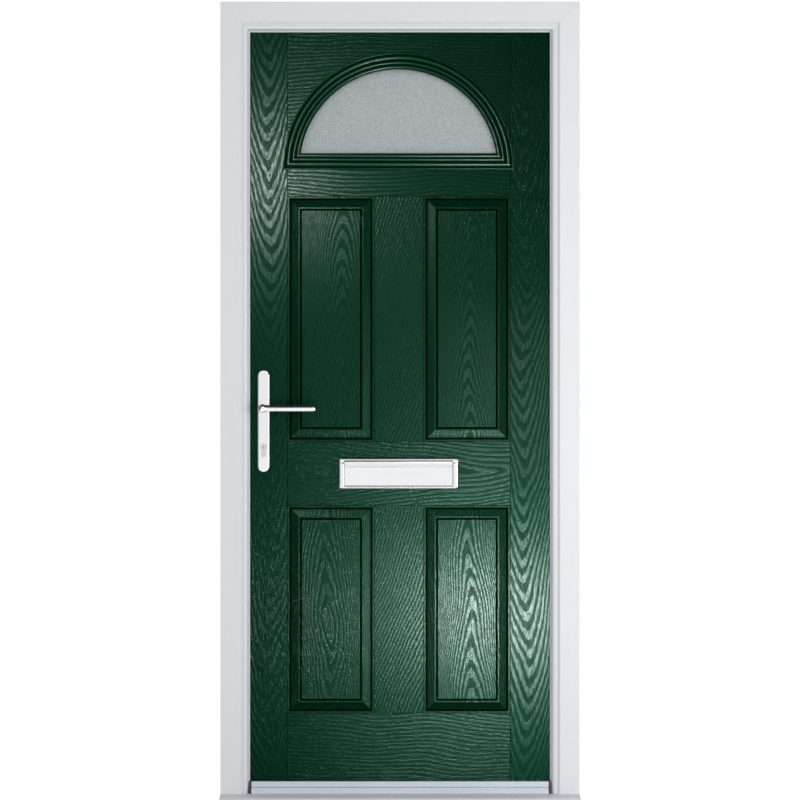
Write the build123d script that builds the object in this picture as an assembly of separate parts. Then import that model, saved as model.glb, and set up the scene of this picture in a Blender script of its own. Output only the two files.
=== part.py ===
# A panelled front door with its frame, in millimetres.
# X runs to the right seen from outside, Y runs from outside to inside, Z is up.
# The origin is on the underside of the cill, half way along the frame and half way through its depth.
import os
from math import cos, radians, sin

from build123d import *

os.makedirs("parts", exist_ok=True)

# Driving sizes: the whole frame
FRAME_WIDTH = 920.0
FRAME_TOP = 2060.0
FRAME_DEPTH = 70.0
CILL_HEIGHT = 30.0
CILL_PROJECTION = 30.0
END_CAP = 3.0

# Driving sizes: the frame extrusion, measured from its outer edge
FACE_FLAT = 50.0
STOP_EDGE = 74.0
REBATE_EDGE = 59.0
STOP_DEPTH = 25.0
WALL = 2.8
FACE_CHAMBER = 13.0
REAR_CHAMBER = 15.0
STEEL_WALL = 1.5
STEEL_WIDTH = 45.6
SEAL_SLOT = 2.5
SEAL_SLOT_DEPTH = 5.0
SEAL_WIDTH = 7.0

# Driving sizes: the threshold
THRESHOLD_HEIGHT = 32.0
THRESHOLD_BASE = 14.0
THRESHOLD_WALL = 2.2
END_BLOCK = 5.0

# Driving sizes: the leaf
EDGE_GAP = 5.0
LEAF_THICKNESS = 44.0
LEAF_SETBACK = 28.0
SKIN = 2.0
STILE = 75.0
TOP_RAIL = 60.0
BOTTOM_RAIL = 80.0
BOTTOM_GAP = 6.0

# Driving sizes: the pattern moulded into the skins
STILE_FACE_LEFT = 106.0
STILE_FACE_RIGHT = 112.0
MULLION_LEFT = -66.0
MULLION_RIGHT = 61.0
TOP_RAIL_DROP = 72.8
LOCK_RAIL_TOP = 932.7
LOCK_RAIL_BOTTOM = 767.8
BOTTOM_RAIL_LINE = 232.5
PANEL_MARGIN = 5.8
LINE_WIDTH = 2.0
LINE_DEPTH = 0.8
PANEL_ARRIS = 1.0
PANEL_QUIRK = 3.5
QUIRK_DEPTH = 7.0
QUIRK_DRAFT = 1.2
PANEL_SINK = 4.8
PANEL_BEVEL = 22.5
PANEL_RIM = 3.5
PANEL_FIELD_SINK = 1.0
FIELD_GROOVE = 5.4
FIELD_GROOVE_DEPTH = 7.0
GROOVE_DRAFT = 0.6

# Driving sizes: the half-round light, its glass measured from the leaf's edge and from the top
LIGHT_X = -4.0
GLASS_SIDE = 141.0
GLASS_DROP = 167.5
LIGHT_RISE = 38.0
MOULDING_WIDTH = 42.0
GLASS_COVER = 12.0
GLAZING_LEG = 2.5
APERTURE_EDGE = 26.0
PANE = 4.0
GLASS_UNIT = 28.0
TAPE = 2.0
TAPE_SET_BACK = 1.5
SPACER = 6.0
SPACER_COVER = 3.0
GLAZING_SCREW_EDGE = 20.5

# Driving sizes: the handles, measured from the leaf's lock edge and from the spindle
BACKSET = 45.0
PLATE_LENGTH = 263.0
PLATE_WIDTH = 31.0
PLATE_THICKNESS = 10.0
PLATE_DROP = 32.0
SPINDLE_Z = 1018.0
SPINDLE = 8.0
LEVER_LENGTH = 129.0
LEVER_BAR_RADIUS = 9.0
LEVER_NECK_RADIUS = 11.2
LEVER_STAND_OFF = 35.0
LEVER_BOSS_RADIUS = 8.0
HANDLE_SCREW_SPACING = 215.0
CYLINDER_DROP = 100.0
CYLINDER_RADIUS = 8.5
CYLINDER_LOBE = 10.0
CYLINDER_HEIGHT = 33.0
PLUG_RADIUS = 6.5

# Driving sizes: the letterplate
LETTER_X = -3.7
LETTER_Z = 850.8
LETTER_WIDTH = 307.0
LETTER_HEIGHT = 79.0
LETTER_BASE = 3.0
LETTER_RIM = 10.0
LETTER_SIDE = 14.0
LETTER_TOP_BAR = 6.0
LETTER_LIP = 6.6
SLOT_WIDTH = 250.0
SLOT_HEIGHT = 38.0
SLOT_DROP = 7.8
FLAP_ROLL_RADIUS = 4.6
FLAP_PIN_RADIUS = 1.8

# Driving sizes: the lock; heights above and below the spindle, drops from the top of the frame
FACEPLATE_WIDTH = 20.0
FACEPLATE_THICKNESS = 3.0
FACEPLATE_BOTTOM = 250.0
FACEPLATE_DROP = 300.0
CASE_THICKNESS = 16.0
CASE_WALL = 1.5
CASE_BELOW = 133.0
CASE_ABOVE = 44.0
CASE_REACH = 70.0
LATCH_ABOVE = 22.0
LATCH_HEIGHT = 20.0
LATCH_THROW = 13.0
BOLT_BELOW = 58.0
BOLT_HEIGHT = 24.0
BOLT_THROW = 20.0
HOOK_DROP = 380.0
HOOK_BOTTOM_Z = 300.0
LOCK_SCREW_END = 12.0
LOCK_SCREW_COUNT = 4
HOOK_REACH = 44.0
HOOK_SETBACK = 22.0
KEEP_THICKNESS = 2.5
KEEP_WIDTH = 30.0
KEEP_SCREW = 24.0

# Driving sizes: the hinges
HINGE_LOW = 250.0
HINGE_DROP = 270.0
HINGE_LENGTH = 100.0
BARREL_RADIUS = 9.0
HINGE_PIN_RADIUS = 4.0
HINGE_LEAF = 4.0
HINGE_FLAG = 38.0
HINGE_SCREW_X = 40.0
HINGE_SCREW_STEP = 36.0
HINGE_SCREW = 24.0

# Driving sizes: wall fixings
FIXING_HOLE = 8.5
FIXING_END = 180.0
FIXING_LOW = 780.0
FIXING_DROP = 730.0

# Clearances
RUNNING = 0.06
EASY = 0.3

# Places that follow from the driving sizes
HALF = FRAME_WIDTH / 2
FRONT = -FRAME_DEPTH / 2
BACK = FRAME_DEPTH / 2
STOP_BACK = FRONT + STOP_DEPTH
REBATE = HALF - REBATE_EDGE
STOP = HALF - STOP_EDGE
FACE = FRONT + LEAF_SETBACK
REAR = FACE + LEAF_THICKNESS
MIDDLE = (FACE + REAR) / 2
LEAF_HALF = REBATE - EDGE_GAP
LEAF_TOP = FRAME_TOP - REBATE_EDGE - EDGE_GAP
THRESHOLD_TOP = CILL_HEIGHT + THRESHOLD_HEIGHT
BASE_TOP = CILL_HEIGHT + THRESHOLD_BASE
LEAF_BOTTOM = BASE_TOP + BOTTOM_GAP
LOCK_EDGE = -LEAF_HALF
STILE_LINE_LEFT = -LEAF_HALF + STILE_FACE_LEFT
STILE_LINE_RIGHT = LEAF_HALF - STILE_FACE_RIGHT
LIGHT_RADIUS = LEAF_HALF - GLASS_SIDE
LIGHT_Z = FRAME_TOP - GLASS_DROP - LIGHT_RADIUS
TOP_RAIL_LINE = LIGHT_Z - TOP_RAIL_DROP
SPINDLE_X = LOCK_EDGE + BACKSET
PLATE_Z = SPINDLE_Z - PLATE_DROP
CYLINDER_Z = SPINDLE_Z - CYLINDER_DROP
LEVER_Y = FACE - PLATE_THICKNESS - LEVER_STAND_OFF
CASE_BOTTOM = SPINDLE_Z - CASE_BELOW
CASE_TOP = SPINDLE_Z + CASE_ABOVE
LATCH_Z = SPINDLE_Z + LATCH_ABOVE
BOLT_Z = SPINDLE_Z - BOLT_BELOW
HOOK_TOP_Z = FRAME_TOP - HOOK_DROP
FACEPLATE_TOP = FRAME_TOP - FACEPLATE_DROP
HINGE_HIGH = FRAME_TOP - HINGE_DROP
HINGE_HEIGHTS = (HINGE_LOW, (HINGE_LOW + HINGE_HIGH) / 2, HINGE_HIGH)
FIXING_HEIGHTS = (FIXING_END, FIXING_LOW, FRAME_TOP - FIXING_DROP, FRAME_TOP - FIXING_END)
HINGE_X = REBATE
HINGE_Y = REAR + BARREL_RADIUS + 1.0
ROLL_Z = LETTER_Z + LETTER_HEIGHT / 2 - LETTER_TOP_BAR - FLAP_ROLL_RADIUS - 0.6
ROLL_Y = FACE - LETTER_RIM + FLAP_ROLL_RADIUS + 0.1
SLOT_Z = LETTER_Z - SLOT_DROP
PIVOT_X = LOCK_EDGE + HOOK_SETBACK

parts = {}


def block(x0, x1, y0, y1, z0, z1):
    """A box between two corners."""
    return Pos((x0 + x1) / 2, (y0 + y1) / 2, (z0 + z1) / 2) * Box(x1 - x0, y1 - y0, z1 - z0)


def rod_x(x0, x1, y, z, radius):
    """A round bar along X."""
    return Pos((x0 + x1) / 2, y, z) * Rot(0, 90, 0) * Cylinder(radius, x1 - x0)


def rod_y(x, z, y0, y1, radius):
    """A round bar along Y."""
    return Pos(x, (y0 + y1) / 2, z) * Rot(90, 0, 0) * Cylinder(radius, y1 - y0)


def prism(sketch, y0, y1):
    """A solid from a sketch of X and Z, between two depths."""
    plane = Plane((0, y1, 0), x_dir=(1, 0, 0), z_dir=(0, -1, 0))
    return extrude(plane * sketch, amount=y1 - y0)


def along_x(points, x0, x1):
    """A bar along X whose section is a list of (y, z) points."""
    plane = Plane((x0, 0, 0), x_dir=(0, 1, 0), z_dir=(1, 0, 0))
    return extrude(plane * make_face(Polyline(*points, close=True)), amount=x1 - x0)


def outline(*points):
    """A flat sketch with straight sides."""
    return make_face(Polyline(*points, close=True))


def rear_copy(solid):
    """The same piece on the room side of the leaf."""
    return mirror(solid, about=Plane((0, MIDDLE, 0), x_dir=(1, 0, 0), z_dir=(0, 1, 0)))


def group(solids):
    """Loose pieces of one kind, kept together under one name."""
    return Compound(children=[piece for solid in solids for piece in solid.solids()])


def screw_y(x, z, y_head, y_tip, head, shank):
    """A countersunk screw along Y, its head at y_head."""
    way = 1 if y_tip > y_head else -1
    sink = way * (head - shank)
    profile = make_face(Polyline(
        (0, y_head), (head, y_head), (shank, y_head + sink), (shank, y_tip), (0, y_tip), close=True))
    turned = revolve(profile, Axis.Y)
    return Pos(x, 0, z) * turned


def screw_x(y, z, x_head, x_tip, head, shank):
    """A countersunk screw along X, its head at x_head."""
    way = 1 if x_tip > x_head else -1
    sink = way * (head - shank)
    profile = make_face(Polyline(
        (x_head, 0), (x_head, head), (x_head + sink, shank), (x_tip, shank), (x_tip, 0), close=True))
    turned = revolve(profile, Axis.X)
    return Pos(0, y, z) * turned


# The frame: one extrusion for the head and both jambs
def frame_section():
    """The extrusion cut across: first coordinate from the outer edge, second is Y."""
    step = FACE_FLAT + 4
    quirk = FACE_FLAT + 9.5
    lip = STOP_EDGE - 2
    front_line = Polyline((0, BACK), (0, FRONT), (FACE_FLAT, FRONT), (step, FRONT + 3), (step + 0.4, FRONT + 5.5),
                          (quirk, FRONT + 5.5), (quirk + 0.4, FRONT + 4))
    ovolo = ThreePointArc((quirk + 0.4, FRONT + 4), (lip - 3.2, FRONT + 8.6), (lip, FRONT + 15.5))
    slot = REBATE_EDGE + 5
    slot_floor = STOP_BACK - SEAL_SLOT_DEPTH
    back_line = Polyline((lip, FRONT + 15.5), (lip + 0.3, FRONT + 17), (STOP_EDGE, FRONT + 17.6),
                         (STOP_EDGE, STOP_BACK), (slot + SEAL_SLOT, STOP_BACK), (slot + SEAL_SLOT, slot_floor),
                         (slot, slot_floor), (slot, STOP_BACK), (REBATE_EDGE, STOP_BACK),
                         (REBATE_EDGE, BACK), (0, BACK))
    section = make_face(front_line + ovolo + back_line)
    steel_edge = REBATE_EDGE - WALL
    chambers = [
        (WALL, FACE_FLAT + 1, FRONT + WALL, FRONT + FACE_CHAMBER),
        (steel_edge - STEEL_WIDTH, steel_edge, FRONT + FACE_CHAMBER + WALL, BACK - REAR_CHAMBER),
        (WALL, steel_edge, BACK - REAR_CHAMBER + WALL, BACK - WALL),
        (WALL, steel_edge - STEEL_WIDTH - WALL, FRONT + FACE_CHAMBER + WALL, BACK - REAR_CHAMBER),
        (REBATE_EDGE, STOP_EDGE - 4, FRONT + 9.5, STOP_BACK - SEAL_SLOT_DEPTH - WALL),
    ]
    for u0, u1, y0, y1 in chambers:
        section -= Pos((u0 + u1) / 2, (y0 + y1) / 2) * Rectangle(u1 - u0, y1 - y0)
    return section


def mitred_run(section, foot):
    """Lock jamb, head and hinge jamb of one section, mitred where they meet."""
    reach = STOP_EDGE + 40
    jamb = Pos(-HALF, 0, foot) * extrude(section, amount=FRAME_TOP - foot)
    head = Pos(-HALF, 0, FRAME_TOP) * Rot(0, 90, 0) * extrude(section, amount=FRAME_WIDTH)
    jamb_zone = outline((-HALF - 1, foot - 1), (-HALF - 1, FRAME_TOP + 1),
                        (-HALF + reach, FRAME_TOP - reach), (-HALF + reach, foot - 1))
    head_zone = outline((-HALF, FRAME_TOP), (HALF, FRAME_TOP),
                        (HALF - reach, FRAME_TOP - reach), (-HALF + reach, FRAME_TOP - reach))
    lock_jamb = jamb & prism(jamb_zone, FRONT - 1, BACK + 1)
    head = head & prism(head_zone, FRONT - 1, BACK + 1)
    return lock_jamb, head, mirror(lock_jamb, about=Plane.YZ)


def fixing_holes(side):
    """The wall fixing holes through one jamb."""
    return [rod_x(side * HALF - 70, side * HALF + 70, 5, z, FIXING_HOLE / 2) for z in FIXING_HEIGHTS]


def keep_pockets():
    """What is cut out of the lock jamb for the latch, the bolt and the hooks."""
    y0 = MIDDLE - 7
    y1 = MIDDLE + 7
    latch_room = LATCH_HEIGHT / 2 + 2
    bolt_room = BOLT_HEIGHT / 2 + 2
    return [
        block(-REBATE - 13, -REBATE + 1, y0, y1, LATCH_Z - latch_room, LATCH_Z + latch_room),
        block(-REBATE - BOLT_THROW, -REBATE + 1, y0, y1, BOLT_Z - bolt_room, BOLT_Z + bolt_room),
        block(-REBATE - 21, -REBATE + 1, y0, y1, HOOK_TOP_Z - 10, HOOK_TOP_Z + HOOK_REACH - 4),
        block(-REBATE - 21, -REBATE + 1, y0, y1, HOOK_BOTTOM_Z - 10, HOOK_BOTTOM_Z + HOOK_REACH - 4),
    ]


lock_jamb, frame_head, hinge_jamb = mitred_run(frame_section(), CILL_HEIGHT)
parts["frame_jamb_lock_side"] = lock_jamb - fixing_holes(-1) - keep_pockets()
parts["frame_jamb_hinge_side"] = hinge_jamb - fixing_holes(1)
parts["frame_head"] = frame_head

# Steel boxes in the main chamber, a little smaller than it
steel_y0 = FRONT + FACE_CHAMBER + WALL + EASY
steel_y1 = BACK - REAR_CHAMBER - EASY
steel_u1 = REBATE_EDGE - WALL - EASY
steel_u0 = steel_u1 - STEEL_WIDTH + 2 * EASY


def steel_box(length):
    """A square steel tube standing on Z."""
    outer = block(steel_u0, steel_u1, steel_y0, steel_y1, 0, length)
    inner = block(steel_u0 + STEEL_WALL, steel_u1 - STEEL_WALL, steel_y0 + STEEL_WALL, steel_y1 - STEEL_WALL,
                  -1, length + 1)
    return outer - inner


steel_top = FRAME_TOP - STOP_EDGE
lock_steel = Pos(-HALF, 0, CILL_HEIGHT + 2) * steel_box(steel_top - CILL_HEIGHT - 2)
hinge_steel = mirror(lock_steel, about=Plane.YZ)
head_steel = Pos(-HALF + STOP_EDGE, 0, FRAME_TOP) * Rot(0, 90, 0) * steel_box(FRAME_WIDTH - 2 * STOP_EDGE)
lock_steel = lock_steel - fixing_holes(-1) - keep_pockets()
hinge_steel = hinge_steel - fixing_holes(1)

# The cill: a hollow extrusion with a drip groove, capped at both ends
nose = FRONT - CILL_PROJECTION
cill_outline = [(BACK, 0), (BACK, CILL_HEIGHT), (FRONT, CILL_HEIGHT), (nose + 3, CILL_HEIGHT - 3.4),
                (nose + 0.8, CILL_HEIGHT - 4.6), (nose, CILL_HEIGHT - 7), (nose, 3), (nose + 3, 0)]
drip = block(-HALF, HALF, nose + 9, nose + 13, -1, 3)
cill_half = HALF - END_CAP
cill = along_x(cill_outline, -cill_half, cill_half) - drip
for y0, y1, z1 in ((nose + 16, FRONT + 1, CILL_HEIGHT - 6), (FRONT + 4, -2, CILL_HEIGHT - WALL),
                   (1, BACK - WALL, CILL_HEIGHT - WALL)):
    cill -= block(-HALF, HALF, y0, y1, WALL, z1)
cill -= block(-HALF, HALF, nose + WALL, nose + 13, 3 + WALL, CILL_HEIGHT - 7.5)
parts["cill"] = cill
cap = along_x(cill_outline, cill_half, HALF)
parts["cill_end_caps"] = group([cap, mirror(cap, about=Plane.YZ)])

# The threshold: its upstand is the stop, its base runs under the leaf
upstand_front = FRONT + 1.5
upstand_outline = [(STOP_BACK, CILL_HEIGHT), (STOP_BACK, THRESHOLD_TOP - 1.5), (STOP_BACK - 1.5, THRESHOLD_TOP),
                   (upstand_front + 11, THRESHOLD_TOP), (upstand_front + 8, THRESHOLD_TOP - 1.2),
                   (upstand_front + 4.2, CILL_HEIGHT + 17.2), (upstand_front + 5, CILL_HEIGHT + 16.4),
                   (upstand_front + 3.6, CILL_HEIGHT + 15.6), (upstand_front, CILL_HEIGHT + 1),
                   (upstand_front, CILL_HEIGHT)]
base_outline = [(STOP_BACK - 3, CILL_HEIGHT), (STOP_BACK - 3, BASE_TOP), (BACK - 8, BASE_TOP - 2),
                (BACK - 1, BASE_TOP - 7), (BACK - 1, CILL_HEIGHT)]
stop_clear = STOP - END_BLOCK
upstand = along_x(upstand_outline, -stop_clear, stop_clear)
upstand_core = [(STOP_BACK - THRESHOLD_WALL, CILL_HEIGHT + THRESHOLD_WALL),
                (STOP_BACK - THRESHOLD_WALL, THRESHOLD_TOP - 3.4), (upstand_front + 10.6, THRESHOLD_TOP - 3.4),
                (upstand_front + 7.2, CILL_HEIGHT + 16), (upstand_front + 2.8, CILL_HEIGHT + THRESHOLD_WALL)]
upstand -= along_x(upstand_core, -HALF, HALF)
base = along_x(base_outline, -REBATE + EASY, REBATE - EASY)
base -= block(-HALF, HALF, FRONT, STOP_BACK + EASY, 0, BASE_TOP + 1) - block(
    -stop_clear, stop_clear, FRONT, STOP_BACK + EASY, 0, BASE_TOP + 1)
base -= block(-HALF, HALF, STOP_BACK + THRESHOLD_WALL, 11, CILL_HEIGHT + THRESHOLD_WALL, BASE_TOP - 4)
base -= block(-HALF, HALF, 13.2, BACK - 9, CILL_HEIGHT + THRESHOLD_WALL, BASE_TOP - 4.4)
parts["threshold"] = upstand + base
end_block = along_x(upstand_outline, stop_clear, STOP)
parts["threshold_end_blocks"] = group([end_block, mirror(end_block, about=Plane.YZ)])

# The weather seal: a stem in the slot and a soft lip that stands off the leaf
seal_slot = REBATE_EDGE + 5
seal_tip = FACE - EASY
seal_middle = seal_slot + SEAL_SLOT / 2
seal_section = outline((seal_slot + 0.2, STOP_BACK - SEAL_SLOT_DEPTH + 0.4), (seal_slot + SEAL_SLOT - 0.2,
                       STOP_BACK - SEAL_SLOT_DEPTH + 0.4), (seal_slot + SEAL_SLOT - 0.2, STOP_BACK),
                       (seal_middle + SEAL_WIDTH, STOP_BACK), (seal_middle + SEAL_WIDTH + 0.6, STOP_BACK + 1.4),
                       (seal_middle + SEAL_WIDTH - 1, seal_tip), (seal_middle - 2, seal_tip),
                       (seal_middle - 4, STOP_BACK + 1.2), (seal_middle - 4, STOP_BACK), (seal_slot + 0.2, STOP_BACK))
seal_runs = mitred_run(seal_section, THRESHOLD_TOP)
sill_outline = [(STOP_BACK, THRESHOLD_TOP - 10), (STOP_BACK, THRESHOLD_TOP - 2),
                (seal_tip - 0.6, THRESHOLD_TOP - 2), (seal_tip, THRESHOLD_TOP - 4),
                (seal_tip, THRESHOLD_TOP - 8), (STOP_BACK + 1, THRESHOLD_TOP - 10)]
sill_seal = along_x(sill_outline, -stop_clear, stop_clear)
parts["frame_seal"] = group([seal_runs[0] + seal_runs[1] + seal_runs[2], sill_seal])


# The leaf skins: a sheet that follows the relief at one thickness
def frustum(x0, x1, z0, z1, y0, y1, inset0, inset1):
    """A solid between a rectangle at y0 and another at y1, each set in from the same edges."""
    faces = []
    for y, inset in ((y0, inset0), (y1, inset1)):
        plane = Plane(((x0 + x1) / 2, y, (z0 + z1) / 2), x_dir=(1, 0, 0), z_dir=(0, 1, 0))
        faces.append(plane * Rectangle(x1 - x0 - 2 * inset, z1 - z0 - 2 * inset))
    return loft(faces, ruled=True)


def panel_void(x0, x1, z0, z1, thick):
    """What the moulded panel takes out of the flat face, grown by thick on every side."""
    quirk = FACE + QUIRK_DEPTH + thick
    foot = FACE + PANEL_SINK + thick
    field = FACE + PANEL_FIELD_SINK + thick
    groove = FACE + FIELD_GROOVE_DEPTH + thick
    near = PANEL_BEVEL + PANEL_RIM
    far = near + FIELD_GROOVE
    inner = PANEL_QUIRK + thick
    void = frustum(x0, x1, z0, z1, FACE, quirk, -thick, QUIRK_DRAFT - thick)
    void -= frustum(x0, x1, z0, z1, field, foot, PANEL_BEVEL + thick / 4, inner)
    void -= frustum(x0, x1, z0, z1, foot, quirk, inner, inner)
    ring = frustum(x0, x1, z0, z1, field, groove, near - thick, near + GROOVE_DRAFT - thick)
    ring -= frustum(x0, x1, z0, z1, field, groove, far + thick, far - GROOVE_DRAFT + thick)
    return void + ring


def panel_arris(x0, x1, z0, z1):
    """The small bevel along the board's edge round one panel."""
    wall = QUIRK_DRAFT * PANEL_ARRIS / QUIRK_DEPTH
    return frustum(x0, x1, z0, z1, FACE, FACE + PANEL_ARRIS, -PANEL_ARRIS, wall)


panel_columns = ((STILE_LINE_LEFT, MULLION_LEFT), (MULLION_RIGHT, STILE_LINE_RIGHT))
panel_rows = ((LOCK_RAIL_TOP, TOP_RAIL_LINE), (BOTTOM_RAIL_LINE, LOCK_RAIL_BOTTOM))
panels = [(x0 + PANEL_MARGIN, x1 - PANEL_MARGIN, z0 + PANEL_MARGIN, z1 - PANEL_MARGIN)
          for x0, x1 in panel_columns for z0, z1 in panel_rows]


def joint_lines():
    """Shallow grooves where stiles, rails and mullion seem to meet."""
    half = LINE_WIDTH / 2
    grooves = []
    for x in (STILE_LINE_LEFT, STILE_LINE_RIGHT):
        grooves.append(((x, LEAF_BOTTOM), (x, LEAF_TOP)))
    for z in (TOP_RAIL_LINE, LOCK_RAIL_TOP, LOCK_RAIL_BOTTOM, BOTTOM_RAIL_LINE):
        grooves.append(((STILE_LINE_LEFT, z), (STILE_LINE_RIGHT, z)))
    for x in (MULLION_LEFT, MULLION_RIGHT):
        for z0, z1 in panel_rows:
            grooves.append(((x, z0), (x, z1)))
    cuts = []
    for (x0, z0), (x1, z1) in grooves:
        cuts.append(frustum(x0 - half, x1 + half, z0 - half, z1 + half, FACE, FACE + LINE_DEPTH, 0, half * 0.7))
    return cuts


def light_sketch(edge):
    """The half-round shape, grown by edge beyond the edge of the visible glass."""
    radius = LIGHT_RADIUS + edge
    floor = LIGHT_RISE - edge
    return Pos(LIGHT_X, LIGHT_Z) * (Circle(radius) & Pos(0, floor + radius) * Rectangle(2 * radius, 2 * radius))


def cylinder_profile(ease):
    """The keyhole shape of the lock cylinder, grown by ease."""
    lobe_foot = CYLINDER_HEIGHT - CYLINDER_RADIUS
    shape = Circle(CYLINDER_RADIUS + ease) + Pos(0, -lobe_foot / 2) * Rectangle(CYLINDER_LOBE + 2 * ease,
                                                                              lobe_foot + 2 * ease)
    return Pos(SPINDLE_X, CYLINDER_Z) * shape


handle_screw_heights = (PLATE_Z - HANDLE_SCREW_SPACING / 2, PLATE_Z + HANDLE_SCREW_SPACING / 2)
letter_screws = [(LETTER_X + side * (LETTER_WIDTH - LETTER_SIDE) / 2, LETTER_Z - 21) for side in (-1, 1)]
sleeve_wall = 2.0


def leaf_holes(y0, y1):
    """Everything that passes through the leaf."""
    cuts = [prism(light_sketch(APERTURE_EDGE), y0, y1)]
    cuts.append(prism(Pos(LETTER_X, SLOT_Z) * Rectangle(SLOT_WIDTH + 2 * sleeve_wall + 2,
                                                        SLOT_HEIGHT + 2 * sleeve_wall + 2), y0, y1))
    cuts.append(rod_y(SPINDLE_X, SPINDLE_Z, y0, y1, 12))
    cuts.append(prism(cylinder_profile(0.5), y0, y1))
    cuts += [rod_y(SPINDLE_X, z, y0, y1, 3.2) for z in handle_screw_heights]
    cuts += [rod_y(x, z, y0, y1, 2.6) for x, z in letter_screws]
    return cuts


skin = block(-LEAF_HALF, LEAF_HALF, FACE, FACE + SKIN, LEAF_BOTTOM, LEAF_TOP)
for panel in panels:
    skin += panel_void(*panel, SKIN)
for panel in panels:
    skin -= panel_void(*panel, 0)
    skin -= panel_arris(*panel)
outer_skin = skin - joint_lines() - leaf_holes(FACE - 1, FACE + 12)
parts["outer_skin"] = outer_skin
parts["inner_skin"] = rear_copy(outer_skin)

# Inside the leaf: stiles, rails and the foam between them
core_y0 = FACE + SKIN
core_y1 = REAR - SKIN
inner_half = LEAF_HALF - STILE
case_y0 = MIDDLE - CASE_THICKNESS / 2
case_y1 = MIDDLE + CASE_THICKNESS / 2
plate_back = LOCK_EDGE + FACEPLATE_THICKNESS
rod_y0 = MIDDLE - 6
rod_y1 = MIDDLE + 6
rod_thickness = 2.5
hook_case_depth = 40.0
hook_case_low = 20.0
hook_case_high = 54.0
case_back = plate_back + CASE_REACH - 3


def lock_mortices():
    """What is routed out of the lock stile for the multipoint lock."""
    ease = EASY
    cuts = [block(LOCK_EDGE - 1, plate_back, MIDDLE - FACEPLATE_WIDTH / 2 - 0.1, MIDDLE + FACEPLATE_WIDTH / 2 + 0.1,
                  FACEPLATE_BOTTOM - 0.2, FACEPLATE_TOP + 0.2)]
    cuts.append(block(plate_back - 1, plate_back + rod_thickness + 0.6, rod_y0 - ease, rod_y1 + ease,
                      HOOK_BOTTOM_Z - 10, HOOK_TOP_Z + 10))
    cuts.append(block(plate_back - 1, case_back + ease, case_y0 - ease, case_y1 + ease,
                      CASE_BOTTOM - ease, CASE_TOP + ease))
    for z in (HOOK_TOP_Z, HOOK_BOTTOM_Z):
        cuts.append(block(plate_back - 1, plate_back + hook_case_depth + ease, case_y0 - ease, case_y1 + ease,
                          z - hook_case_low - ease, z + hook_case_high + ease))
    return cuts


stile_holes = leaf_holes(core_y0 - 1, core_y1 + 1)
lock_stile = block(-LEAF_HALF, -inner_half, core_y0, core_y1, LEAF_BOTTOM, LEAF_TOP)
lock_stile = lock_stile - lock_mortices() - stile_holes[2:]
lock_screw_heights = [FACEPLATE_BOTTOM + LOCK_SCREW_END, FACEPLATE_TOP - LOCK_SCREW_END]
for first, last in ((HOOK_BOTTOM_Z + 120, CASE_BOTTOM - 45), (CASE_TOP + 48, HOOK_TOP_Z - 150)):
    step = (last - first) / (LOCK_SCREW_COUNT - 1)
    lock_screw_heights += [first + step * i for i in range(LOCK_SCREW_COUNT)]
lock_screws = [screw_x(MIDDLE, z, LOCK_EDGE + 0.1, LOCK_EDGE + 32, 3.6, 1.9) for z in lock_screw_heights]
lock_stile = lock_stile - lock_screws
parts["lock_stile"] = lock_stile
hinge_stile = block(inner_half, LEAF_HALF, core_y0, core_y1, LEAF_BOTTOM, LEAF_TOP)
parts["top_rail"] = block(-inner_half, inner_half, core_y0, core_y1, LEAF_TOP - TOP_RAIL, LEAF_TOP)
parts["bottom_rail"] = block(-inner_half, inner_half, core_y0, core_y1, LEAF_BOTTOM, LEAF_BOTTOM + BOTTOM_RAIL)
foam = block(-inner_half, inner_half, core_y0, core_y1, LEAF_BOTTOM + BOTTOM_RAIL, LEAF_TOP - TOP_RAIL)
for panel in panels:
    relief = panel_void(*panel, SKIN)
    foam -= relief
    foam -= rear_copy(relief)
parts["foam_core"] = foam - stile_holes
fin_foot = BASE_TOP + 0.6
fin_root = LEAF_BOTTOM - 2
fins = [(MIDDLE - 9, LEAF_BOTTOM), (MIDDLE - 6, fin_foot), (MIDDLE - 4, fin_foot), (MIDDLE - 3, fin_root),
        (MIDDLE + 3, fin_root), (MIDDLE + 4, fin_foot), (MIDDLE + 6, fin_foot), (MIDDLE + 9, LEAF_BOTTOM)]
parts["bottom_weather_seal"] = along_x(fins, -LEAF_HALF + 2, LEAF_HALF - 2)


# The half-round light: a moulded ring outside and inside, screwed to each other through the leaf
glass_y0 = MIDDLE - GLASS_UNIT / 2
glass_y1 = MIDDLE + GLASS_UNIT / 2
bed_y = glass_y0 - TAPE
leg_y = MIDDLE - 0.5
leg_edge = GLASS_COVER + 0.5


def ring_point(edge, height):
    """A point of the ring's section: distance from the visible glass, and Y."""
    return edge, FACE - height


def bead(start, crown, end):
    """One rounded ridge of the moulding."""
    return ThreePointArc(ring_point(*start), ring_point(*crown), ring_point(*end))


def moulding_profile():
    """The moulded ring cut across."""
    front = (Line((0, bed_y), ring_point(0, 0.5))
             + bead((0, 0.5), (6.4, 3.9), (10.6, 2.4))
             + bead((10.6, 2.4), (16.4, 7.0), (21.0, 4.8))
             + bead((21.0, 4.8), (28.2, 11.2), (37.0, 4.2))
             + Line(ring_point(37.0, 4.2), ring_point(38.4, 2.0))
             + bead((38.4, 2.0), (40.6, 2.9), (MOULDING_WIDTH, 0)))
    back = Polyline((MOULDING_WIDTH, FACE), (leg_edge + GLAZING_LEG, FACE), (leg_edge + GLAZING_LEG, leg_y),
                    (leg_edge, leg_y), (leg_edge, bed_y), (0, bed_y))
    return make_face(front + back)


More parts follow.
